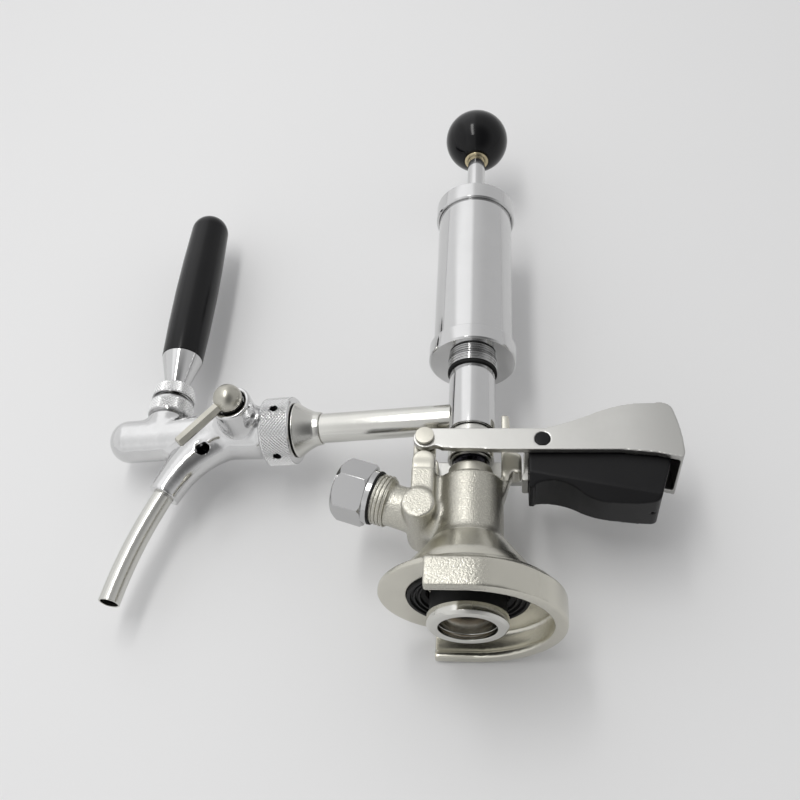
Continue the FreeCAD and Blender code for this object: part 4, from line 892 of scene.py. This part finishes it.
def knurled(node, axis, settings, below, above, taper=0.0, holes=()):
    """Covers a turned piece with diamond knurling, apart from its ends and the places round holes."""
    radius, low, high = extent(node, axis)
    radius += KNURL_LIFT
    height = high - low - below - above
    columns = round(math.tau * radius / settings.knurl_pitch)
    rows = max(2, round(2 * height / settings.knurl_pitch))
    band = relief_mesh(
        f"{node}_knurl", KNURL["tree"], AXES[axis], "knurled_chrome", Radius=radius, Taper=taper,
        Low=low + below, Height=height, Columns=columns, Rows=rows, Depth=settings.knurl_depth,
    )
    for point, direction, clear in holes:
        cleared(band, point, direction, clear)
    return finished(new_piece(f"{node}_knurl", band), node, "knurled_chrome", replace=False)


def drilled(piece, point, direction, radius, reach, stretch=1.0, lean=0.0):
    """Cuts a round hole through a piece, or a long one that is stretched across its direction."""
    bm = bmesh.new()
    shape = Matrix.Rotation(lean, 4, "Z") @ Matrix.Diagonal((stretch, 1.0, 1.0, 1.0))
    bmesh.ops.create_cone(bm, cap_ends=True, segments=32, radius1=radius, radius2=radius, depth=reach * 2,
                          matrix=standing(point, direction) @ shape)
    return carved(piece, bm)


def carved(piece, bm):
    """Takes a closed shape out of a piece."""
    tool = new_piece("tool", mesh_from(bm, "tool"))
    cut = piece.modifiers.new("Cut", "BOOLEAN")
    cut.operation = "DIFFERENCE"
    cut.solver = "EXACT"
    cut.object = tool
    plain_mesh(piece)
    bpy.data.objects.remove(tool)
    return piece


# The pieces


# The angles at which outlines are taken, clear of the holes in a piece's side
WHOLE_SIDE = math.radians(45)
BALL_SIDE = math.radians(200)

# Sizes that only the finished pieces have
FLARE_RADIUS = 0.005
DRILL_OVERRUN = 0.002
HOLE_RIM = 0.0005
VENT_FRONT = 0.0165
VENT_DEPTH = 0.0135
SPOUT_OVERLAP = math.radians(0.8)


def vent_axis(settings):
    """The middle of the vent hole, where it opens at the front of the tap's neck."""
    return OUTWARD * settings.vent_reach + FORWARD * VENT_FRONT + UP * settings.vent_height


def vent_length(settings):
    """From the middle of the long vent hole towards one end, as far as its round ends reach."""
    lean = UP.cross(FORWARD) * math.cos(settings.vent_lean) + UP * math.sin(settings.vent_lean)
    return lean * settings.vent_radius * (settings.vent_stretch - 1.0) * 0.8


def spanner_axes(settings):
    """The lines of the coupling nut's spanner holes, through its middle."""
    _, low, high = extent("coupling_nut", "pipe")
    centre = AXES["pipe"] @ Vector((0, 0, (low + high) / 2))
    turns = (settings.spanner_angle, settings.spanner_angle + math.pi / 2)
    return [(centre, UP * math.cos(turn) - FORWARD * math.sin(turn)) for turn in turns]


def flow_boss(settings):
    """The rounded collar round the flow control's ball, as a mesh that is merged with the tap's body."""
    outer = settings.boss_radius
    top = settings.boss_end
    lip = 0.0006
    bore = 0.0075
    spindle_bore = 0.0056
    root = 0.011
    seat = 0.0212
    outline = [(spindle_bore, root), (spindle_bore, seat), (bore, seat), (bore, top), (outer - lip, top),
               (outer, top - 2 * lip), (outer, root)]
    piece = spun("flow_boss", [outline], AXES["flow"], settings, radius=0.0004)
    mesh = piece.data
    bpy.data.objects.remove(piece)
    return mesh


def coupler(settings):
    softened_piece("coupler_body", voxel=0.00068, relax_steps=3, blend=0.0006)
    turned_piece("guide_bush", "pump", settings, material="satin_nickel")
    turned_piece("bottom_seal", "pump", settings)
    turned_piece("lever_pin", "pivot", settings, material="satin_nickel")


def gas_port(settings):
    crisp_piece("gas_port_cap", width=0.0004, material="cap_chrome")
    turned_piece("gas_port_gasket", "port", settings)
    ridge = relief_mesh(
        "gas_port_thread", thread_tree(), AXES["port"], "nickel_casting", Radius=settings.thread_radius,
        Low=settings.thread_low, Height=settings.thread_high - settings.thread_low,
        Pitch=settings.thread_pitch, Depth=settings.thread_depth, Steps=64,
    )
    finished(new_piece("gas_port_thread", ridge), "coupler_body", replace=False)


def lever(settings):
    softened_piece("lever_handle", voxel=0.0005, relax_steps=4, ease=0.00012)
    softened_piece("trigger_grip", voxel=0.00045, relax_steps=4)
    turned_piece("trigger_pin", "trigger", settings)
    crisp_piece("latch_pawl", width=0.0004)


def probe(settings):
    turned_piece("probe_tube", "pump", settings, material="probe_steel")
    turned_piece("probe_end_ring", "pump", settings, material="probe_steel")
    for node in ("probe_seal", "lower_snap_ring", "upper_snap_ring"):
        turned_piece(node, "pump", settings)
    crisp_piece("fork_ring", width=0.0003)


def hand_pump(settings):
    for node in ("column", "column_o_ring", "column_nut", "pump_base_cap", "pump_tube", "pump_top_cap",
                 "rod_bush", "pump_rod", "knob_insert", "ball_knob"):
        turned_piece(node, "pump", settings, angle=WHOLE_SIDE)


def side_pipe(settings):
    turned_piece("outlet_pipe", "pipe", settings)
    finished(turned("shank_adapter", "pipe", settings, radius=FLARE_RADIUS), "shank_adapter")
    nut = turned("coupling_nut", "pipe", settings, angle=WHOLE_SIDE)
    holes = []
    for centre, direction in spanner_axes(settings):
        drilled(nut, centre, direction, settings.spanner_radius, settings.nut_radius + DRILL_OVERRUN)
        holes.append((centre, direction, settings.spanner_radius + HOLE_RIM))
    finished(nut, "coupling_nut", "drilled_chrome")
    knurled("coupling_nut", "pipe", settings, below=0.0008, above=0.0008, holes=holes)


def lever_room(body):
    """Clears the tap lever's slot and the bore of its ball, which the softened skin narrows."""
    bore_low = 0.0092
    bore_high = 0.0187
    bore_radius = 0.00625
    slot_start = -0.0112
    slot_end = 0.0034
    slot_width = 0.006
    overrun = 0.001
    root = Vector((TAP_PIVOT.x, TAP_PIVOT.y, PIPE_HEIGHT))
    drilled(body, root + UP * (bore_low + bore_high) / 2, UP, bore_radius, (bore_high - bore_low) / 2)
    turn = Matrix((OUTWARD, FORWARD, UP)).transposed().to_4x4()
    place = Matrix.Translation(((slot_start + slot_end) / 2, 0, bore_low / 2))
    size = Matrix.Diagonal((slot_end - slot_start, slot_width, bore_low + overrun, 1.0))
    bm = bmesh.new()
    bmesh.ops.create_cube(bm, size=1.0, matrix=Matrix.Translation(root) @ turn @ place @ size)
    carved(body, bm)


def tap(settings):
    body = softened_piece("faucet_body", voxel=0.0007, relax_steps=8, material="chrome_casting", blend=0.0022,
                          extra=[flow_boss(settings)])
    drilled(body, vent_axis(settings), FORWARD, settings.vent_radius, VENT_DEPTH,
            settings.vent_stretch, settings.vent_lean)
    lever_room(body)
    for node in ("lever_seat_ring", "lever_stem", "grip_ferrule", "tap_grip", "tap_bonnet", "lever_cap"):
        turned_piece(node, "tower", settings)
    knurled("tap_bonnet", "tower", settings, below=0.0004, above=0.0020)
    knurled("lever_cap", "tower", settings, below=0.0004, above=0.0026, taper=0.0011)
    spout(settings)


def spout(settings):
    """The bent spout as one smooth tube, thin walled and square at its mouth."""
    bm = bmesh.new()
    bend = settings.spout_bend
    socket = OUTWARD * settings.spout_reach + UP * settings.spout_height
    centre = socket - (OUTWARD * math.cos(settings.spout_start) + UP * math.sin(settings.spout_start)) * bend
    side = OUTWARD.cross(UP)
    top = settings.spout_start + SPOUT_OVERLAP
    walls = (settings.spout_radius, settings.spout_radius - settings.spout_wall)
    count = settings.spin_steps // 2
    rings = []
    for wall in walls:
        run = []
        for step in range(settings.spout_steps + 1):
            angle = settings.spout_end + (top - settings.spout_end) * step / settings.spout_steps
            out = OUTWARD * math.cos(angle) + UP * math.sin(angle)
            ring = []
            for index in range(count):
                turn = math.tau * index / count
                spoke = out * math.cos(turn) + side * math.sin(turn)
                ring.append(bm.verts.new(centre + out * bend + spoke * wall))
            run.append(ring)
        rings.append(run)
    bands = [(run[i], run[i + 1]) for run in rings for i in range(settings.spout_steps)]
    bands.append((rings[0][0], rings[1][0]))
    bands.append((rings[0][-1], rings[1][-1]))
    for low, high in bands:
        for turn in range(count):
            after = (turn + 1) % count
            bm.faces.new((low[turn], low[after], high[after], high[turn]))
    piece = new_piece("spout_tube_finished", mesh_from(bm, "spout_tube"))
    bevel = piece.modifiers.new("Edges", "BEVEL")
    bevel.width = 0.00018
    bevel.segments = 2
    bevel.limit_method = "ANGLE"
    plain_mesh(piece)
    finished(piece, "spout_tube")


def flow_control(settings):
    turned_piece("flow_lever_ball", "flow", settings, angle=BALL_SIDE, material="satin_chrome")
    turned_piece("flow_shaft_seal", "flow", settings)
    crisp_piece("flow_lever_bar", width=0.0003, material="satin_chrome")
    crisp_piece("flow_spindle", width=0.0002)


def inner_pieces():
    """The working pieces inside keep their solids and get their own finishes."""
    for node, piece in frame["nodes"].items():
        if not piece.hide_render:
            wet = BODY[node] == BODY["probe_tube"] and SLOT[node] == SLOT["probe_tube"]
            for place in piece.material_slots:
                place.link = "OBJECT"
                place.material = FINISHES["probe_steel" if wet else SLOT[node]]


# The stage


def table_finish(settings):
    """Pale paint with painted shade that darkens it towards the right, where the lamp's light falls off, seen from
    the front only, so that the pump shows from behind.
    """
    finish = Finish("table_top", settings.table, 0.85)
    mottle = finish.noise(3.0, 4.0)
    side = finish.x.above(0.02, 0.6)
    pale = finish.tint(mottle, settings.table, 1.03, 1.0)
    # Painted shade: the table is painted darker towards +X, standing in for the falloff of the lamp's light
    finish.set("Base Color", finish.mix(side, pale, rgba(settings.table, 0.93)))
    back = finish.node("ShaderNodeNewGeometry", {}, output="Backfacing")
    painted = Link(finish, finish.shader.outputs[0])
    clear = finish.node("ShaderNodeBsdfTransparent", {})
    output = next(node for node in finish.nodes if node.type == "OUTPUT_MATERIAL")
    finish.feed(output.inputs[0], finish.node("ShaderNodeMixShader", {0: back, 1: painted, 2: clear}))
    return finish.done()


def table_top(settings):
    """The pale surface that the pump lies on, behind it in the row frame and seen from the front only."""
    depth = CAD_BOX[1].y + settings.table_gap
    reach = 1.6
    bm = bmesh.new()
    corners = [(-reach, depth, -reach), (reach, depth, -reach), (reach, depth, reach), (-reach, depth, reach)]
    bm.faces.new([bm.verts.new(corner) for corner in corners])
    mesh = bpy.data.meshes.new("table_top")
    bm.to_mesh(mesh)
    bm.free()
    top = new_piece("table_top", mesh)
    top.data.materials.append(table_finish(settings))


def soft_light(name, point, target, size, power, colour):
    """A rectangular lamp at a point, turned to a target."""
    data = bpy.data.lights.new(name, "AREA")
    data.shape = "RECTANGLE"
    data.size, data.size_y = size
    data.energy = power
    data.color = colour
    lamp = bpy.data.objects.new(name, data)
    bpy.context.scene.collection.objects.link(lamp)
    lamp.matrix_world = standing(point, Vector(point) - Vector(target))


CAMERA_PLACE = Vector((0.0170926, -0.3996673, -0.1617608))
CAMERA_RIGHT = Vector((0.99442, 0.08987, 0.05530))
CAMERA_UP = Vector((0.00543, -0.56697, 0.82372))
CAMERA_BACK = Vector((0.10538, -0.81882, -0.56429))
CAMERA_LENS = 45.957


def room_light():
    """A plain studio room, paler to the left and darker behind the camera, for bright metal to reflect."""
    plain, left_glow, panel_glow, dimming = 0.62, 0.29, 0.36, 0.46
    world = bpy.data.worlds.new("studio")
    world.use_nodes = True
    room = Graph(world.node_tree)
    background = next(node for node in room.nodes if node.type == "BACKGROUND")
    across, depth, height = room.split(room.node("ShaderNodeTexCoord", {}, output="Generated"))
    left = 1.0 - across.above(0.0, 1.0)
    panel = across.above(-0.63, 0.16) * (1.0 - across.above(-0.06, 0.16)) * (1.0 - depth.above(-0.35, 0.4))
    toward_camera = across * CAMERA_BACK.x + depth * CAMERA_BACK.y + height * CAMERA_BACK.z
    behind_camera = toward_camera.above(0.72, 0.46)
    room.feed(background.inputs["Color"], (0.995, 0.995, 1.0, 1.0))
    strength = left * left_glow + panel * panel_glow + plain - behind_camera * dimming
    room.feed(background.inputs["Strength"], strength)
    bpy.context.scene.world = world


def camera():
    """The photograph's view: the pump lies on its back and is seen from low down at its front."""
    data = bpy.data.cameras.new("camera")
    data.sensor_width = 36.0
    data.lens = CAMERA_LENS
    data.clip_start = 0.01
    data.clip_end = 20.0
    eye = bpy.data.objects.new("camera", data)
    bpy.context.scene.collection.objects.link(eye)
    turn = Matrix((CAMERA_RIGHT, CAMERA_UP, CAMERA_BACK)).transposed().to_4x4()
    eye.matrix_world = Matrix.Translation(CAMERA_PLACE) @ turn
    bpy.context.scene.camera = eye


def stage(settings):
    bpy.context.scene.view_settings.view_transform = "Standard"
    table_top(settings)
    room_light()
    camera()
    soft_light("ceiling_tube", point=(-0.30, -1.20, 0.22), target=(0.0, 0.0, 0.12), size=(0.17, 0.95),
               power=4.1, colour=(1.0, 0.995, 0.98))


# Operators, panel and start


def settings_of(context):
    return context.scene.keg_pump


class KEGPUMP_OT_finishes(bpy.types.Operator):
    """Makes the materials of all the pieces"""

    bl_idname = "kegpump.finishes"
    bl_label = "Finishes"

    def execute(self, context):
        make_finishes(settings_of(context))
        return {"FINISHED"}


class KEGPUMP_OT_coupler(bpy.types.Operator):
    """Makes the cast coupler with its bush, seal and lever pin"""

    bl_idname = "kegpump.coupler"
    bl_label = "Coupler"

    def execute(self, context):
        coupler(settings_of(context))
        return {"FINISHED"}


class KEGPUMP_OT_gas_port(bpy.types.Operator):
    """Makes the gas port's thread, gasket and hexagonal cap"""

    bl_idname = "kegpump.gas_port"
    bl_label = "Gas port"

    def execute(self, context):
        gas_port(settings_of(context))
        return {"FINISHED"}


class KEGPUMP_OT_lever(bpy.types.Operator):
    """Makes the lever handle, its trigger, pin and latch pawl"""

    bl_idname = "kegpump.lever"
    bl_label = "Lever"

    def execute(self, context):
        lever(settings_of(context))
        return {"FINISHED"}


class KEGPUMP_OT_probe(bpy.types.Operator):
    """Makes the probe, its end ring, the fork ring and the snap rings"""

    bl_idname = "kegpump.probe"
    bl_label = "Probe"

    def execute(self, context):
        probe(settings_of(context))
        return {"FINISHED"}


class KEGPUMP_OT_hand_pump(bpy.types.Operator):
    """Makes the column and the hand pump on it"""

    bl_idname = "kegpump.hand_pump"
    bl_label = "Hand pump"

    def execute(self, context):
        hand_pump(settings_of(context))
        return {"FINISHED"}


class KEGPUMP_OT_side_pipe(bpy.types.Operator):
    """Makes the outlet pipe, its adapter and the knurled coupling nut"""

    bl_idname = "kegpump.side_pipe"
    bl_label = "Side pipe"

    def execute(self, context):
        side_pipe(settings_of(context))
        return {"FINISHED"}


class KEGPUMP_OT_tap(bpy.types.Operator):
    """Makes the tap body, its spout, knurled rings and grip"""

    bl_idname = "kegpump.tap"
    bl_label = "Tap"

    def execute(self, context):
        tap(settings_of(context))
        return {"FINISHED"}


class KEGPUMP_OT_flow_control(bpy.types.Operator):
    """Makes the flow control's spindle, ball and bar"""

    bl_idname = "kegpump.flow_control"
    bl_label = "Flow control"

    def execute(self, context):
        flow_control(settings_of(context))
        return {"FINISHED"}


class KEGPUMP_OT_inner_pieces(bpy.types.Operator):
    """Finishes the working pieces inside"""

    bl_idname = "kegpump.inner_pieces"
    bl_label = "Inner pieces"

    def execute(self, context):
        inner_pieces()
        return {"FINISHED"}


class KEGPUMP_OT_stage(bpy.types.Operator):
    """Makes the table top, the lights and the camera"""

    bl_idname = "kegpump.stage"
    bl_label = "Stage"

    def execute(self, context):
        stage(settings_of(context))
        return {"FINISHED"}


STEPS = [
    KEGPUMP_OT_finishes, KEGPUMP_OT_coupler, KEGPUMP_OT_gas_port, KEGPUMP_OT_lever, KEGPUMP_OT_probe,
    KEGPUMP_OT_hand_pump, KEGPUMP_OT_side_pipe, KEGPUMP_OT_tap, KEGPUMP_OT_flow_control,
    KEGPUMP_OT_inner_pieces, KEGPUMP_OT_stage,
]


class KEGPUMP_PT_panel(bpy.types.Panel):
    """Lists the steps that build the finished pump"""

    bl_idname = "KEGPUMP_PT_panel"
    bl_label = "Keg party pump"
    bl_space_type = "VIEW_3D"
    bl_region_type = "UI"
    bl_category = "Keg pump"

    def draw(self, context):
        for name in PumpFinish.__annotations__:
            self.layout.prop(settings_of(context), name)
        for step in STEPS:
            self.layout.operator(step.bl_idname)


def register():
    for item in [PumpFinish, *STEPS, KEGPUMP_PT_panel]:
        bpy.utils.register_class(item)
    bpy.types.Scene.keg_pump = PointerProperty(type=PumpFinish)


def unregister():
    del bpy.types.Scene.keg_pump
    for item in reversed([PumpFinish, *STEPS, KEGPUMP_PT_panel]):
        bpy.utils.unregister_class(item)


def main():
    register()
    for step in STEPS:
        family, name = step.bl_idname.split(".")
        getattr(getattr(bpy.ops, family), name)()


if __name__ == "__main__":
    main()
